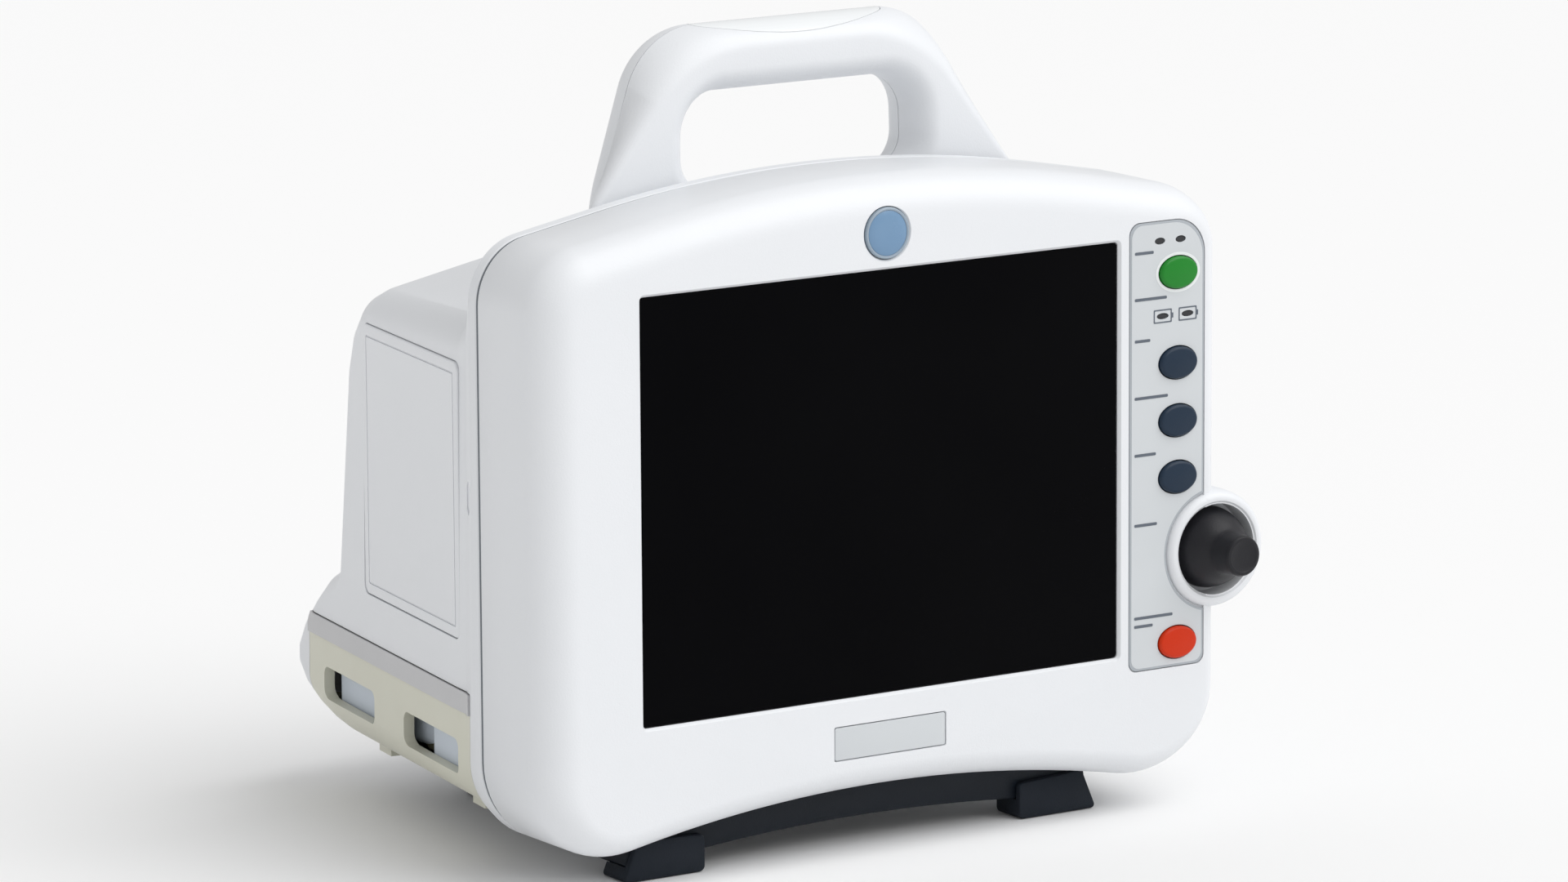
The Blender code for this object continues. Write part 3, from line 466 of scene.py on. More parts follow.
def front_shell(steps=12):
    """Loops of the bezel, from the inside of its front wall, round the rim, to its face."""
    shape = outline(FRONT_SECTION)
    loops = [ring(shape, WALL, front_edge), ring(shape, SOFT_EDGE, WALL), ring(shape, SEAM_Y, WALL),
             ring(shape, SEAM_Y, 0.0006), ring(shape, SEAM_Y - 0.0002, 0.0002),
             ring(shape, SEAM_Y - 0.0006, 0.0)]
    for k in range(steps, -1, -1):
        angle = math.pi / 2 * k / steps
        loops.append(ring(shape, lambda n, a=angle: front_depth(n) * (1 - math.cos(a)),
                          lambda n, a=angle: front_edge(n) * (1 - math.sin(a))))
    return loops


def rear_loops(growth=0.0):
    """Loops of the rear housing's outside, front to back, one for each station."""
    return [ring(outline(corners), y, -growth) for y, corners in REAR_STATIONS]


def rear_shell():
    """Loops of the rear housing, from the inside of its back wall, round the rim, to its back."""
    first = outline(FRONT_SECTION)
    inside = [ring(first, REAR_STATIONS[0][0], WALL)]
    for y, corners in REAR_STATIONS[2:-1]:
        inside.append(ring(outline(corners), y - WALL, WALL))
    rim = [ring(first, SEAM_Y + 0.0011, 0.0009), ring(first, SEAM_Y + 0.0012, 0.0004),
           ring(first, SEAM_Y + 0.0016, 0.0001)]
    return inside[::-1] + rim + rear_loops()[1:]


# ---- front bezel ---------------------------------------------------------------------------------
KNOB_PLACE = (KNOB_X, 0.0, KNOB_Z)
BULGE_PROFILE = [(0.0040, 0.0345), (0.0085, 0.0330), (0.0120, 0.0310), (0.0150, 0.0276), (0.0170, 0.0235),
                 (0.0181, 0.0190), (BULGE_RADIUS, 0.0140), (BULGE_RADIUS, 0.0050), (0.0184, 0.0025),
                 (0.0181, 0.0008), (0.0176, -0.0003), (0.0168, -0.0011), (0.0159, -0.0014),
                 (0.0151, -0.0013), (0.0146, -0.0008)]
PANEL_LEFT, PANEL_RIGHT, PANEL_HALF = 0.0900, 0.1180, 0.0695
BADGE_AT, BADGE_RADIUS = (0.0010, 0.0, 0.0755), 0.0078
BUTTON_X, BUTTON_WIDE, BUTTON_HIGH = 0.1080, 0.0140, 0.0100
KEY_PLAY, WINDOW_PLAY, HOLE_REACH = 0.0007, 0.0005, (-0.005, 0.008)
SHAFT_HOLE = [(0.0036, 0.02), (0.0036, 0.0)]
BUTTONS = {"power_button": (0.0533, power_key, "power_key"), "print_button": (0.0253, dark_key, "dark_key"),
           "cuff_button": (0.0073, dark_key, "dark_key"), "zero_button": (-0.0103, dark_key, "dark_key"),
           "silence_button": (-0.0620, silence_key, "silence_key")}
INDICATORS = {"mains_indicator": (0.1012, 0.0635, 0.0034, 0.0016),
              "battery_indicator": (0.1090, 0.0635, 0.0034, 0.0016),
              "charge_indicator_a": (0.1023, 0.0402, 0.0040, 0.0014),
              "charge_indicator_b": (0.1117, 0.0402, 0.0040, 0.0014)}


def panel_outline(growth=0.0):
    """The key panel's outline, grown all round."""
    left, right, half = PANEL_LEFT - growth, PANEL_RIGHT + growth, PANEL_HALF + growth
    return outline([(right, -half, 0.003, 8), (right, half, 0.011, 14), (left, half, 0.004, 8),
                    (left, -half, 0.003, 8)])


def pierce(sheet):
    """Cuts the openings for the keys and for the indicator windows."""
    for z, _, _ in BUTTONS.values():
        carve(sheet, prism(oval(BUTTON_WIDE + KEY_PLAY, BUTTON_HIGH + KEY_PLAY), *HOLE_REACH),
              at=(BUTTON_X, 0, z))
    for x, z, wide, high in INDICATORS.values():
        carve(sheet, prism(oval(wide + WINDOW_PLAY, high + WINDOW_PLAY, steps=24), *HOLE_REACH),
              at=(x, 0, z))


def make_bezel():
    """The bezel, its bulge and well, and every recess in its face."""
    bezel = piece("front_casing", loft(front_shell()), white_casing)
    carve(bezel, turned(BULGE_PROFILE), "UNION", at=KNOB_PLACE)
    carve(bezel, turned([(WELL_RADIUS, 0.0065), (WELL_RADIUS, 0.0), (WELL_RADIUS + 0.0005, -0.01)]),
          at=KNOB_PLACE)
    carve(bezel, turned(SHAFT_HOLE, 24), at=KNOB_PLACE)
    screen = outline(rounded(SCREEN_WIDTH, SCREEN_HEIGHT, 0.0010, steps=4))
    carve(bezel, loft([ring(screen, 0.008), ring(screen, 0.0010), ring(screen, 0.0004, -0.0004),
                       ring(screen, -0.0005, -0.0014)]))
    carve(bezel, prism(panel_outline(GAP), -0.004, 0.0009))
    carve(bezel, turned(BULGE_PROFILE[5:] + [(WELL_RADIUS, -0.0004), (WELL_RADIUS, 0.0064), (0.0037, 0.0064),
                                             (0.0037, 0.0100)]), "UNION", at=KNOB_PLACE)
    carve(bezel, turned(SHAFT_HOLE, 24), at=KNOB_PLACE)
    pierce(bezel)
    carve(bezel, turned([(BADGE_RADIUS + GAP, 0.0018), (BADGE_RADIUS + GAP, 0.0006),
                         (BADGE_RADIUS + 0.0012, -0.0006), (BADGE_RADIUS + 0.0012, -0.01)]), at=BADGE_AT)
    carve(bezel, recess(outline(rounded(0.0406, 0.0106, 0.0006, 0.0015, -0.0780, 3)), 0.0, 0.0011, 0.0003))
    return fit(bezel, "main_unit", "white_casing", "front_bezel")


make_bezel()

# ---- display -------------------------------------------------------------------------------------
cover = outline(rounded(SCREEN_WIDTH - 2 * GAP, SCREEN_HEIGHT - 2 * GAP, 0.001, steps=4))
fit(piece("display_cover", soft_plate(cover, 0.0009, 0.0029, 0.0002), display_glass),
    "main_unit", "display_glass", "display_window")

# ---- key panel -----------------------------------------------------------------------------------
PRINT_FACE = -0.00016             # printed marks stand this proud of the panel
LABEL_LEFT, LABEL_HIGH = 0.0918, 0.0009
LABELS = {"power": (0.0603, 0.0070), "charge": (0.0460, 0.0120), "print": (0.0332, 0.0058),
          "cuff": (0.0155, 0.0125), "zero": (-0.0022, 0.0080), "knob": (-0.0240, 0.0085),
          "silence": (-0.0530, 0.0145), "quiet": (-0.0556, 0.0070)}
film = piece("key_film", soft_plate(panel_outline(), 0.0, 0.0006, 0.0001), film_border)
carve(film, turned([(0.0187, 0.01), (0.0187, -0.01)]), at=KNOB_PLACE)
face = piece("key_film_face", prism(panel_outline(-0.0007), -0.00008, 0.0003), key_film)
carve(face, turned([(0.0194, 0.01), (0.0194, -0.01)]), at=KNOB_PLACE)
for sheet in (film, face):
    pierce(sheet)
fit(film, "main_unit", "key_panel", "keypad_overlay")
fit(face, "main_unit", "key_panel")


def print_mark(name, shape, x, z, ink):
    """A thin printed patch on the panel."""
    return fit(piece(name, prism(shape, PRINT_FACE, 0.0), ink, (x, 0, z)), "main_unit", "key_panel")


def print_ring(name, shape_of, x, z, wide, high, line, ink):
    """A thin printed line round a place on the panel; shape_of(wide, high) gives its outline."""
    mark = print_mark(name, shape_of(wide, high), x, z, ink)
    carve(mark, prism(shape_of(wide - 2 * line, high - 2 * line), -0.002, 0.002), at=(x, 0, z))


print_ring("power_key_ring", oval, BUTTON_X, 0.0533, 0.0166, 0.0124, 0.0009, pale_ink)
for k, x in enumerate((0.1023, 0.1117)):
    print_ring("cell_outline_%d" % k, lambda w, h: outline(rounded(w, h, 0.0003, steps=3)), x, 0.0402,
                 0.0068, 0.0042, 0.0004, print_ink)
    print_mark("cell_nub_%d" % k, outline(rounded(0.0005, 0.0016, 0.0001, steps=2)), x + 0.0037, 0.0402,
               print_ink)
for name, (z, wide) in LABELS.items():
    print_mark(name + "_label_bar", outline(rounded(wide, LABEL_HIGH, 0.0003, steps=3)),
               LABEL_LEFT + wide / 2, z, print_ink)


def key_loops(steps=6):
    """Loops of a key: a skirt behind the panel, a rounded rim and a slightly crowned top."""
    cap = oval(BUTTON_WIDE, BUTTON_HIGH)
    loops = [ring(cap, 0.0050, -0.0014), ring(cap, 0.0036, -0.0014), ring(cap, 0.0036), ring(cap, -0.0004)]
    for k in range(1, steps + 1):
        angle = math.pi / 2 * k / steps
        loops.append(ring(cap, -0.0004 - 0.0010 * math.sin(angle), 0.0011 * (1 - math.cos(angle))))
    for share in (0.35, 0.65, 0.85):
        size = 1 - share
        loops.append(ring(oval((BUTTON_WIDE - 0.0022) * size, (BUTTON_HIGH - 0.0022) * size),
                          -0.0014 - 0.0004 * math.sin(math.pi / 2 * share)))
    return loops


for key_name, (z, key_finish, key_slot) in BUTTONS.items():
    fit(piece(key_name + "_cap", loft(key_loops()), key_finish, (BUTTON_X, 0, z)), key_name, key_slot,
        key_name)

# ---- control knob --------------------------------------------------------------------------------
knob = piece("control_knob", turned([
    (0.0033, -0.0084), (0.0033, 0.0046), (0.0114, 0.0052), (0.0122, 0.0051), (0.0127, 0.0046),
    (0.0127, 0.0040), (0.0125, 0.0022), (0.0118, -0.0002), (0.0108, -0.0025), (0.0095, -0.0045),
    (0.0082, -0.0058), (0.0073, -0.0066), (0.0068, -0.0074), (0.0066, -0.0084), (0.0064, -0.0138),
    (0.0062, -0.0145), (0.0058, -0.0149), (0.0050, -0.0150), (0.0046, -0.0148),
    (0.0020, -0.0146)]), knob_rubber, KNOB_PLACE)
fit(knob, "trim_knob", "knob_rubber", "trim_knob")

# ---- badge and name plate ------------------------------------------------------------------------
rim_profile = [(BADGE_RADIUS, 0.0015), (BADGE_RADIUS, 0.0002), (0.0077, -0.0002), (0.0074, -0.0004),
               (0.0070, -0.0003), (0.0068, 0.0000)]
dome_profile = [(0.0068, 0.0003), (0.0068, -0.0001), (0.0060, -0.0004), (0.0045, -0.0006),
                (0.0025, -0.0007), (0.0008, -0.0007)]
fit(piece("badge_rim", turned(rim_profile), badge_rim, BADGE_AT), "main_unit", "badge_blue", "badge_disc")
fit(piece("badge_dome", turned(dome_profile), badge_blue, BADGE_AT), "main_unit", "badge_blue")
name_shape = outline(rounded(0.040, 0.010, 0.0006, 0.0015, -0.0780, 3))
fit(piece("blank_name_plate", soft_plate(name_shape, 0.0001, 0.0008, 0.0002), key_film),
    "main_unit", "key_panel", "name_plate")


# ---- rear housing --------------------------------------------------------------------------------
LEAN = math.atan(SIDE_TAPER)
WALL_START = BODY_HALF_WIDTH - 0.001
LEFT_WALL = dict(at=(BODY_X - WALL_START, TAPER_START_Y, 0), turn=(0, 0, -(math.pi / 2 + LEAN)))
RIGHT_WALL = dict(at=(BODY_X + WALL_START, TAPER_START_Y, 0), turn=(0, 0, math.pi / 2 + LEAN))
BACK_WALL = dict(at=(BODY_X, 0.1488, -0.002), turn=(-math.atan(0.0085 / 0.068), 0, math.pi))
BLANK_PLATE = ((-0.0936, -0.0435), (-0.0157, 0.0402))
SOCKET_PLATE = ((0.0200, -0.0460), (0.0900, 0.0380))
REAR_PLATE = ((-0.065, -0.022), (0.065, 0.022))
DOOR_FRONT, DOOR_BACK, DOOR_TOP, DOOR_REACH = 0.0065, 0.1415, -0.0585, 0.019
HINGE_Z = BODY_BOTTOM_Z - 0.0026
LUG_RADIUS, PIN_RADIUS = 0.0022, 0.0010
HOUSING_LUGS = ((-0.0463, -0.0405), (-0.1075, -0.1017))
DOOR_LUGS = ((-0.040, -0.030), (-0.118, -0.108))
DOOR_WINDOWS = (((-0.0615, -0.0850), (-0.0170, -0.0742)), ((-0.1290, -0.0840), (-0.0860, -0.0735)))
SLOT_AT = (-0.0060, 0.0012)


def plate_outline(low, high, radius=0.003, growth=0.0):
    """The outline of a plate let into a wall."""
    return outline(rounded(high[0] - low[0] + 2 * growth, high[1] - low[1] + 2 * growth, radius + growth,
                           (low[0] + high[0]) / 2, (low[1] + high[1]) / 2))


def door_block(growth):
    """A maker for the part of the wall taken by the door."""
    return block((-DOOR_BACK - growth, -0.020, -0.120),
                 (-DOOR_FRONT + growth, DOOR_REACH + growth, DOOR_TOP + growth))


def add_lugs(target, spans, web_front, web_back):
    """Hinge lugs under the lower edge, each a web with a round eye, and the pin's hole through them."""
    for x0, x1 in spans:
        carve(target, block((x0, web_front, HINGE_Z - 0.0020), (x1, web_back, BODY_BOTTOM_Z + 0.0020)),
              "UNION", **LEFT_WALL)
        carve(target, rod(LUG_RADIUS, x0 + 0.0001, x1 - 0.0001, DOOR_REACH, HINGE_Z), "UNION", **LEFT_WALL)
    carve(target, rod(PIN_RADIUS + GAP, -0.125, -0.020, DOOR_REACH, HINGE_Z), **LEFT_WALL)


def make_housing():
    """The rear housing with its openings, hinge lugs, slot and the shallow step round each plate."""
    housing = piece("rear_casing", loft(rear_shell()), white_casing)
    for (low, high), wall in ((BLANK_PLATE, LEFT_WALL), (SOCKET_PLATE, RIGHT_WALL), (REAR_PLATE, BACK_WALL)):
        shape = plate_outline(low, high, growth=GAP)
        carve(housing, prism(shape, -0.012, 0.015), **wall)
    carve(housing, door_block(GAP), **LEFT_WALL)
    add_lugs(housing, HOUSING_LUGS, DOOR_REACH + GAP + 0.0002, 0.0250)
    carve(housing, prism(outline(rounded(0.0056, 0.0100, 0.0024, *SLOT_AT)), -0.01, 0.0012), **LEFT_WALL)
    carve(housing, prism(outline(rounded(0.0030, 0.0052, 0.0012, *SLOT_AT)), -0.01, 0.0100), **LEFT_WALL)
    return fit(housing, "main_unit", "white_casing", "rear_housing")


make_housing()

seam = outline(FRONT_SECTION)
# The dark ring just behind the seam between bezel and rear housing is painted shade: it stands in for the
# shadow inside the seam's gap.
seam_shade_section = ((0.0001, 0.0004), (0.0010, 0.0004), (0.0010, 0.0026), (0.0001, 0.0026))
seam_shade_ring = piece("seam_shadow_ring",
               loft([ring(seam, SEAM_Y + y, inset) for y, inset in seam_shade_section], closed=True),
               seam_shadow)
fit(seam_shade_ring, "main_unit", "dark_plastic")
# The dark plate behind the slot in the left wall is painted shade, for the shadow deep in the slot.
slot_shadow_plate = soft_plate(outline(rounded(0.0040, 0.0062, 0.0014, *SLOT_AT)), 0.0034, 0.0042)
fit(piece("slot_shadow", slot_shadow_plate, seam_shadow, **LEFT_WALL), "main_unit", "dark_plastic")


def framed_plate(name, low, high, wall, material, slot, node_name):
    """A plate with a shallow line a little in from its edge."""
    made = piece(name, soft_plate(plate_outline(low, high), 0.0008, 0.0032, 0.0004), material, **wall)
    groove_out = plate_outline(low, high, growth=-0.0032, radius=0.004)
    groove_in = plate_outline(low, high, growth=-0.0038, radius=0.004)
    trench = piece("trench", prism(groove_out, -0.005, 0.0012), material, **wall)
    carve(trench, prism(groove_in, -0.006, 0.006), **wall)
    combine(made, trench)
    return fit(made, "main_unit", slot, node_name)


framed_plate("side_cover", *BLANK_PLATE, LEFT_WALL, white_casing, "white_casing", "side_blank_plate")
framed_plate("socket_plate", *SOCKET_PLATE, RIGHT_WALL, key_film, "key_panel", "parameter_panel")


# ---- battery door --------------------------------------------------------------------------------
def make_door():
    """The battery door, cut from the housing's own shell, with two windows and its lugs."""
    door = piece("battery_cover", loft(rear_shell()), aged_cover)
    carve(door, door_block(0.0), "INTERSECT", **LEFT_WALL)
    carve(door, block((-0.0226, 0.0063, -0.1170), (0.0050, 0.0250, BODY_BOTTOM_Z + 0.0100)), **LEFT_WALL)
    for low, high in DOOR_WINDOWS:
        carve(door, prism(plate_outline(low, high), -0.015, 0.016), **LEFT_WALL)
    add_lugs(door, DOOR_LUGS, 0.0140, DOOR_REACH - 0.0002)
    return fit(door, "battery_door", "aged_cover", "battery_door")


make_door()
lip = piece("battery_cover_lip", loft(rear_loops(0.0007)), lip_grey)
carve(lip, loft(rear_loops(-0.0004)))
carve(lip, block((-DOOR_BACK, -0.030, -0.0648), (-DOOR_FRONT, 0.012, DOOR_TOP)), "INTERSECT", **LEFT_WALL)
fit(lip, "battery_door", "aged_cover")

# ---- battery ends seen in the door's windows -----------------------------------------------------
for end_name, low, high in (("battery_a_end", (-0.0480, -0.0862), (-0.0180, -0.0735)),
                            ("battery_b_end", (-0.1260, -0.0852), (-0.0850, -0.0728))):
    end = soft_plate(plate_outline(low, high, 0.0015), 0.0046, 0.0066, 0.0006)
    fit(piece(end_name, end, battery_case, **LEFT_WALL), "main_unit", "battery_case")
# A dark plate behind the front window where no battery fills it: painted shade for the shadow in that
# recess.
shade = soft_plate(plate_outline((-0.0640, -0.0870), (-0.0485, -0.0725), 0.0015), 0.0085, 0.0095, 0.0003)
fit(piece("battery_a_window_shadow", shade, window_gap_shadow, **LEFT_WALL), "main_unit", "battery_case")

# ---- handle --------------------------------------------------------------------------------------
HANDLE_MIDDLE_Y, HANDLE_BASE_Z, HANDLE_ROUND = (HANDLE_FRONT_Y + HANDLE_REAR_Y) / 2, 0.050, 0.0076


def handle_outline(foot, foot_z, top, top_reach):
    """Corners of the handle's outer outline: foot, flare and shoulder, left and right."""
    return [(BODY_X - foot, HANDLE_BASE_Z, 0.010, 6), (BODY_X + foot, HANDLE_BASE_Z, 0.010, 6),
            (BODY_X + foot, foot_z, 0.010, 12), (BODY_X + top, HANDLE_TOP_Z, top_reach, 23),
            (BODY_X - top, HANDLE_TOP_Z, top_reach, 23), (BODY_X - foot, foot_z, 0.010, 12)]


HANDLE_FRONT = handle_outline(0.0860, 0.0800, 0.0431, 0.0237)
HANDLE_REAR = handle_outline(0.0680, 0.0810, 0.0510, 0.0184)
HANDLE_HOLE = [(BODY_X - 0.0410, 0.0860, 0.0095, 21), (BODY_X + 0.0418, 0.0860, 0.0095, 21),
               (BODY_X + 0.0410, 0.1143, 0.0124, 21), (BODY_X - 0.0410, 0.1143, 0.0124, 21)]
HOLE_START = 15                   # which point of the hole lines up with the first of the outline


def handle_loops(y_start, y_end, face, steps=12):
    """Loops round the handle's section, from its middle plane out to one face and back."""
    inner = [(p, -n) for p, n in outline(HANDLE_HOLE)]
    arcs = [math.pi / 2 * k / steps for k in range(steps + 1)]
    depth = y_end - y_start
    inner = inner[HOLE_START:] + inner[:HOLE_START]
    out_loops = [ring(outline(mixed(HANDLE_REAR, face, math.sin(a))), y_start + depth * math.sin(a),
                      HANDLE_ROUND * (1 - math.cos(a))) for a in arcs]
    in_loops = [ring(inner, y_start + depth * math.sin(a), HANDLE_ROUND * (1 - math.cos(a)))
                for a in reversed(arcs)]
    return out_loops + in_loops


LENS_LENGTH, LENS_DEPTH, LENS_UNDER_Z = 0.068, 0.0200, 0.1290


def upright_oval(length, depth, z0, z1, steps=96):
    """A maker for an oval column standing in the handle's top."""
    return loft([[Vector((BODY_X + length / 2 * math.cos(2 * math.pi * k / steps),
                          HANDLE_MIDDLE_Y + depth / 2 * math.sin(2 * math.pi * k / steps), z))
                  for k in range(steps)] for z in (z0, z1)])


for half_name, outer_y, side, face in (("handle_front_half", HANDLE_FRONT_Y, -1, HANDLE_FRONT),
                                       ("handle_rear_half", HANDLE_REAR_Y, 1, HANDLE_REAR)):
    grip = loft(handle_loops(HANDLE_MIDDLE_Y + side * GAP / 2, outer_y, face), closed=True)
    half = piece(half_name.replace("half", "grip"), grip, white_casing)
    carve(half, loft(rear_loops(GAP)))
    carve(half, upright_oval(LENS_LENGTH + 2 * GAP, LENS_DEPTH + 2 * GAP, 0.1250, 0.150))
    fit(half, "main_unit", "white_casing", half_name)
lens = piece("alarm_lens", upright_oval(LENS_LENGTH, LENS_DEPTH, LENS_UNDER_Z, 0.150), lamp_lens)
carve(lens, loft(handle_loops(HANDLE_MIDDLE_Y, HANDLE_FRONT_Y, HANDLE_FRONT)
                 + handle_loops(HANDLE_MIDDLE_Y, HANDLE_REAR_Y, HANDLE_REAR)[::-1], closed=True),
      "INTERSECT")
fit(lens, "main_unit", "lamp_lens", "alarm_light_lens")

# ---- foot bar and feet ---------------------------------------------------------------------------
BAR_CORNERS = [(BODY_X + 0.0845, -0.1104, 0.001, 4), (BODY_X + 0.0800, -0.0800, 0.001, 2),
               (BODY_X - 0.0800, -0.0800, 0.001, 2), (BODY_X - 0.0845, -0.1104, 0.001, 4),
               (BODY_X, -0.1038, 0.050, 24)]


def bar_corners(growth):
    """The bar's corners, lowered and widened by a growth."""
    return [(x + math.copysign(growth, x - BODY_X) if x != BODY_X else x,
             z - growth if z < -0.09 else z, reach, steps) for x, z, reach, steps in BAR_CORNERS]


def chamfered(shape, y0, y1):
    """A maker for a slab from y0 back to y1 with a small chamfer at both faces."""
    return loft([ring(shape, y0, 0.0006), ring(shape, y0 + 0.0002, 0.0002), ring(shape, y0 + 0.0006),
                 ring(shape, y1 - 0.0006), ring(shape, y1 - 0.0002, 0.0002), ring(shape, y1, 0.0006)])


case_bed = loft([ring(outline(FRONT_SECTION), 0.0, -GAP), ring(outline(FRONT_SECTION), 0.05, -GAP)])
bar = piece("dark_foot_bar", chamfered(outline(BAR_CORNERS), 0.0170, 0.0340), base_moulding)
carve(bar, case_bed)
fit(bar, "main_unit", "base_moulding", "foot_bar")
for foot_name, side in (("front_foot_left", -1), ("front_foot_right", 1)):
    shape = outline([(BODY_X + side * 0.0575, FLOOR_Z, 0.0018, 5),
                     (BODY_X + side * 0.0575, -0.1032, 0.0016, 5),
                     (BODY_X + side * 0.0812, -0.1020, 0.0016, 5),
                     (BODY_X + side * 0.0865, FLOOR_Z, 0.0018, 5)][::-side])
    foot = piece(foot_name.replace("front_foot", "front_pad"), chamfered(shape, 0.0146, 0.0275), foot_rubber)
    carve(foot, prism(outline(bar_corners(GAP)), 0.0170 - GAP, 0.040))
    carve(foot, case_bed)
    fit(foot, "main_unit", "foot_rubber", foot_name)
PAD_PROFILE = ((0.0070, FLOOR_Z), (0.0088, FLOOR_Z + 0.0002), (0.0096, FLOOR_Z + 0.0006),
               (0.0100, FLOOR_Z + 0.0014), (0.0100, BODY_BOTTOM_Z - 0.0055),
               (0.0096, BODY_BOTTOM_Z - 0.0044), (0.0085, BODY_BOTTOM_Z - 0.0038))
for foot_name, side in (("rear_foot_left", -1), ("rear_foot_right", 1)):
    pad = loft([[Vector((r * math.cos(math.pi * k / 32), r * math.sin(math.pi * k / 32), z))
                 for k in range(64)] for r, z in PAD_PROFILE])
    made = piece(foot_name.replace("rear_foot", "rear_pad"), pad, foot_rubber,
                 (BODY_X + side * 0.055, 0.138, 0))
    fit(made, "main_unit", "foot_rubber", foot_name)

# ---- sockets on the right and back ---------------------------------------------------------------
SOCKETS = {"ecg_socket": (0.035, 0.020, 0.0085, power_key, "power_key"),
           "oxygen_socket": (0.075, 0.020, 0.0070, badge_blue, "badge_blue"),
           "pressure_socket": (0.035, -0.008, 0.0070, dark_plastic, "dark_plastic"),
           "temperature_socket": (0.075, -0.008, 0.0070, dark_plastic, "dark_plastic"),
           "cuff_hose_port": (0.055, -0.032, 0.0070, plated_steel, "plated_steel")}
for socket_name, (x, z, r, material, slot) in SOCKETS.items():
    cup = turned([(r, 0.0005), (r, -0.0020), (r - 0.0006, -0.0024), (r - 0.0006, -0.0056),
                  (r - 0.0002, -0.0060), (r - 0.0003, -0.0067), (r - 0.0007, -0.0070), (r - 0.0012, -0.0070),
                  (r - 0.0016, -0.0066), (r - 0.0016, -0.0010), (r - 0.0020, -0.0008)])
    fit(piece(socket_name + "_shell", shifted(cup, x, z), material, **RIGHT_WALL), "main_unit", slot,
        socket_name)


def screw(name, wall, x, z, face_y, radius=0.0030):
    """A pan-head screw with a cross recess, sunk in a wall's face."""
    profile = [(radius * 0.5, face_y + 0.0030), (radius * 0.5, face_y + 0.0004), (radius, face_y + 0.0004),
               (radius, face_y - 0.0004), (radius * 0.9, face_y - 0.0008), (radius * 0.6, face_y - 0.0011),
               (radius * 0.2, face_y - 0.0012)]
    head = piece(name, shifted(turned(profile, 40), x, z), plated_steel, **wall)
    for wide, tall in ((radius * 1.1, radius * 0.24), (radius * 0.24, radius * 1.1)):
        carve(head, block((x - wide / 2, face_y - 0.003, z - tall / 2),
                          (x + wide / 2, face_y - 0.0004, z + tall / 2)), **wall)
    return fit(head, "main_unit", "plated_steel")


for k, (x, z) in enumerate(((-0.061, 0.018), (0.061, 0.018), (-0.061, -0.018), (0.061, -0.018))):
    screw("rear_panel_screw_%d" % k, BACK_WALL, x, z, 0.0008, 0.0024)
for k, (x, z) in enumerate(((0.0235, 0.0345), (0.0865, 0.0345), (0.0235, -0.0425), (0.0865, -0.0425))):
    screw("socket_plate_screw_%d" % k, RIGHT_WALL, x, z, 0.0008, 0.0022)
for k, x in enumerate((-0.0500, -0.0440, -0.0380)):
    blade = soft_plate(outline(rounded(0.0018, 0.0052, 0.0004, x, 0.0030 if k == 1 else -0.0020, steps=3)),
                       0.0020, 0.0094, 0.0004)
    fit(piece("mains_blade_%d" % k, blade, plated_steel, **BACK_WALL), "main_unit", "plated_steel")
for socket_name, pins in (("ecg_socket", 6), ("oxygen_socket", 5), ("pressure_socket", 5),
                          ("temperature_socket", 4)):
    x, z, r, _, _ = SOCKETS[socket_name]
    for k in range(pins):
        angle = 2 * math.pi * k / pins
        pin = shifted(turned([(0.0005, -0.0006), (0.0005, -0.0040), (0.0002, -0.0045)], 12),
                      x + 0.45 * r * math.cos(angle), z + 0.45 * r * math.sin(angle))
        fit(piece("%s_pin_%d" % (socket_name, k), pin, plated_steel, **RIGHT_WALL), "main_unit",
            "plated_steel")

# ---- floor, light and camera ---------------------------------------------------------------------
floor_mesh = bpy.data.meshes.new("studio_floor")
floor_shape = bmesh.new()
bmesh.ops.create_grid(floor_shape, x_segments=2, y_segments=2, size=14.0)
floor_shape.to_mesh(floor_mesh)
floor_shape.free()
floor = bpy.data.objects.new("studio_floor", floor_mesh)
floor.location = (0, 0, -0.0002)
bpy.context.scene.collection.objects.link(floor)
paper, paper_tree, paper_shader = start_material("pale_paper")
paper_tone = paper_tree.nodes.new("ShaderNodeTexNoise")
paper_tone.inputs["Scale"].default_value = 3.0
paper_mix = paper_tree.nodes.new("ShaderNodeMix")
paper_mix.data_type = "RGBA"
paper_mix.inputs[6].default_value = (0.92, 0.92, 0.92, 1)
paper_mix.inputs[7].default_value = (0.90, 0.90, 0.90, 1)
paper_tree.links.new(paper_tone.outputs["Fac"], paper_mix.inputs["Factor"])
paper_tree.links.new(paper_mix.outputs[2], paper_shader.inputs["Base Color"])
paper_shader.inputs["Roughness"].default_value = 0.9
floor_mesh.materials.append(paper)


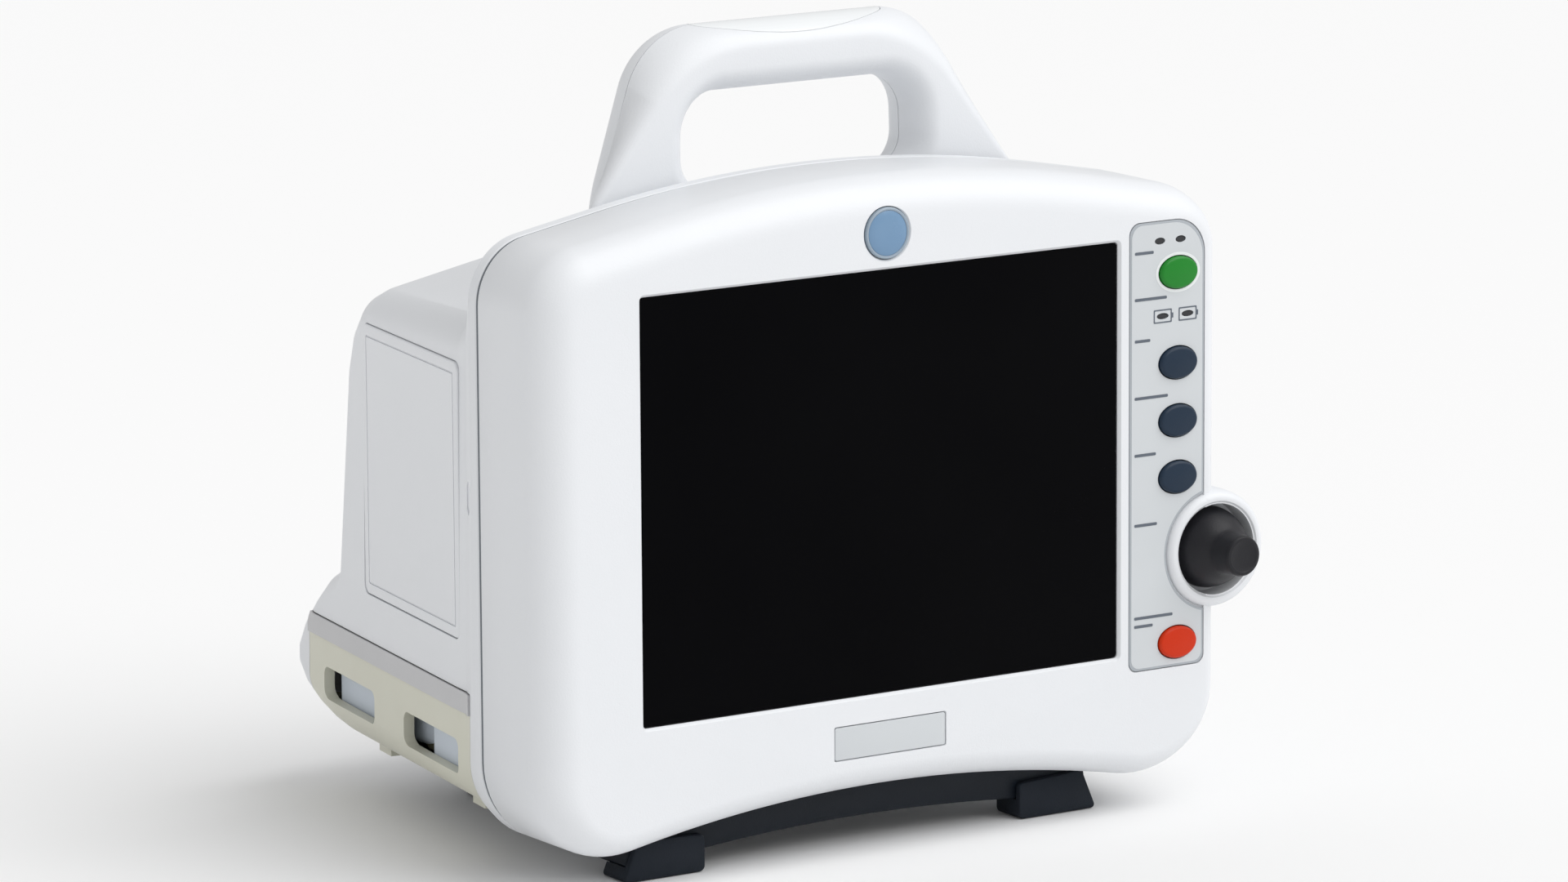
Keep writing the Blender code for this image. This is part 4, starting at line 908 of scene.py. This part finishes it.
def soft_light(name, place, aim, width, height, power):
    """A large soft area light aimed at a point."""
    data = bpy.data.lights.new(name, "AREA")
    data.shape, data.size, data.size_y, data.energy = "RECTANGLE", width, height, power
    light = bpy.data.objects.new(name, data)
    light.location = place
    light.rotation_euler = (Vector(aim) - Vector(place)).to_track_quat("-Z", "Y").to_euler()
    bpy.context.scene.collection.objects.link(light)


soft_light("front_gloss", (0.7, -2.4, 1.6), (0, 0, 0.12), 1.6, 1.2, 2.5)
SKY_FROM, SKY_STRENGTH, SKY_SPREAD, ROOM_STRENGTH = (0.42, -0.50, 0.78), 1.80, math.radians(60), 0.61
sky_light = bpy.data.lights.new("sky_light", "SUN")
sky_light.energy, sky_light.angle = SKY_STRENGTH, SKY_SPREAD
sky = bpy.data.objects.new("sky_light", sky_light)
sky.rotation_euler = (-Vector(SKY_FROM)).to_track_quat("-Z", "Y").to_euler()
bpy.context.scene.collection.objects.link(sky)
world = bpy.data.worlds.new("studio")
world.use_nodes = True
world.node_tree.nodes["Background"].inputs["Color"].default_value = (1, 1, 1, 1)
world.node_tree.nodes["Background"].inputs["Strength"].default_value = ROOM_STRENGTH
bpy.context.scene.world = world

AZIMUTH, ELEVATION, ROLL = math.radians(-33.47), math.radians(10.77), math.radians(-0.34)
CAMERA_PLACE, FOCAL_LENGTH, SENSOR_WIDTH = (-1.3344, -1.9634, 0.4644), 185.74, 36.0
back = Vector((math.sin(AZIMUTH) * math.cos(ELEVATION), -math.cos(AZIMUTH) * math.cos(ELEVATION),
               math.sin(ELEVATION)))
right = Vector((0, 0, 1)).cross(back).normalized()
up = back.cross(right)
tilted_right = math.cos(ROLL) * right + math.sin(ROLL) * up
tilted_up = -math.sin(ROLL) * right + math.cos(ROLL) * up
camera_data = bpy.data.cameras.new("camera")
camera_data.lens, camera_data.sensor_width = FOCAL_LENGTH, SENSOR_WIDTH
camera_data.clip_end = 60.0
camera = bpy.data.objects.new("camera", camera_data)
facing = Matrix((tilted_right, tilted_up, back)).transposed().to_4x4()
camera.matrix_world = Matrix.Translation(ZERO + Vector(CAMERA_PLACE)) @ facing
bpy.context.scene.collection.objects.link(camera)
bpy.context.scene.camera = camera
bpy.context.scene.view_settings.view_transform = "Standard"
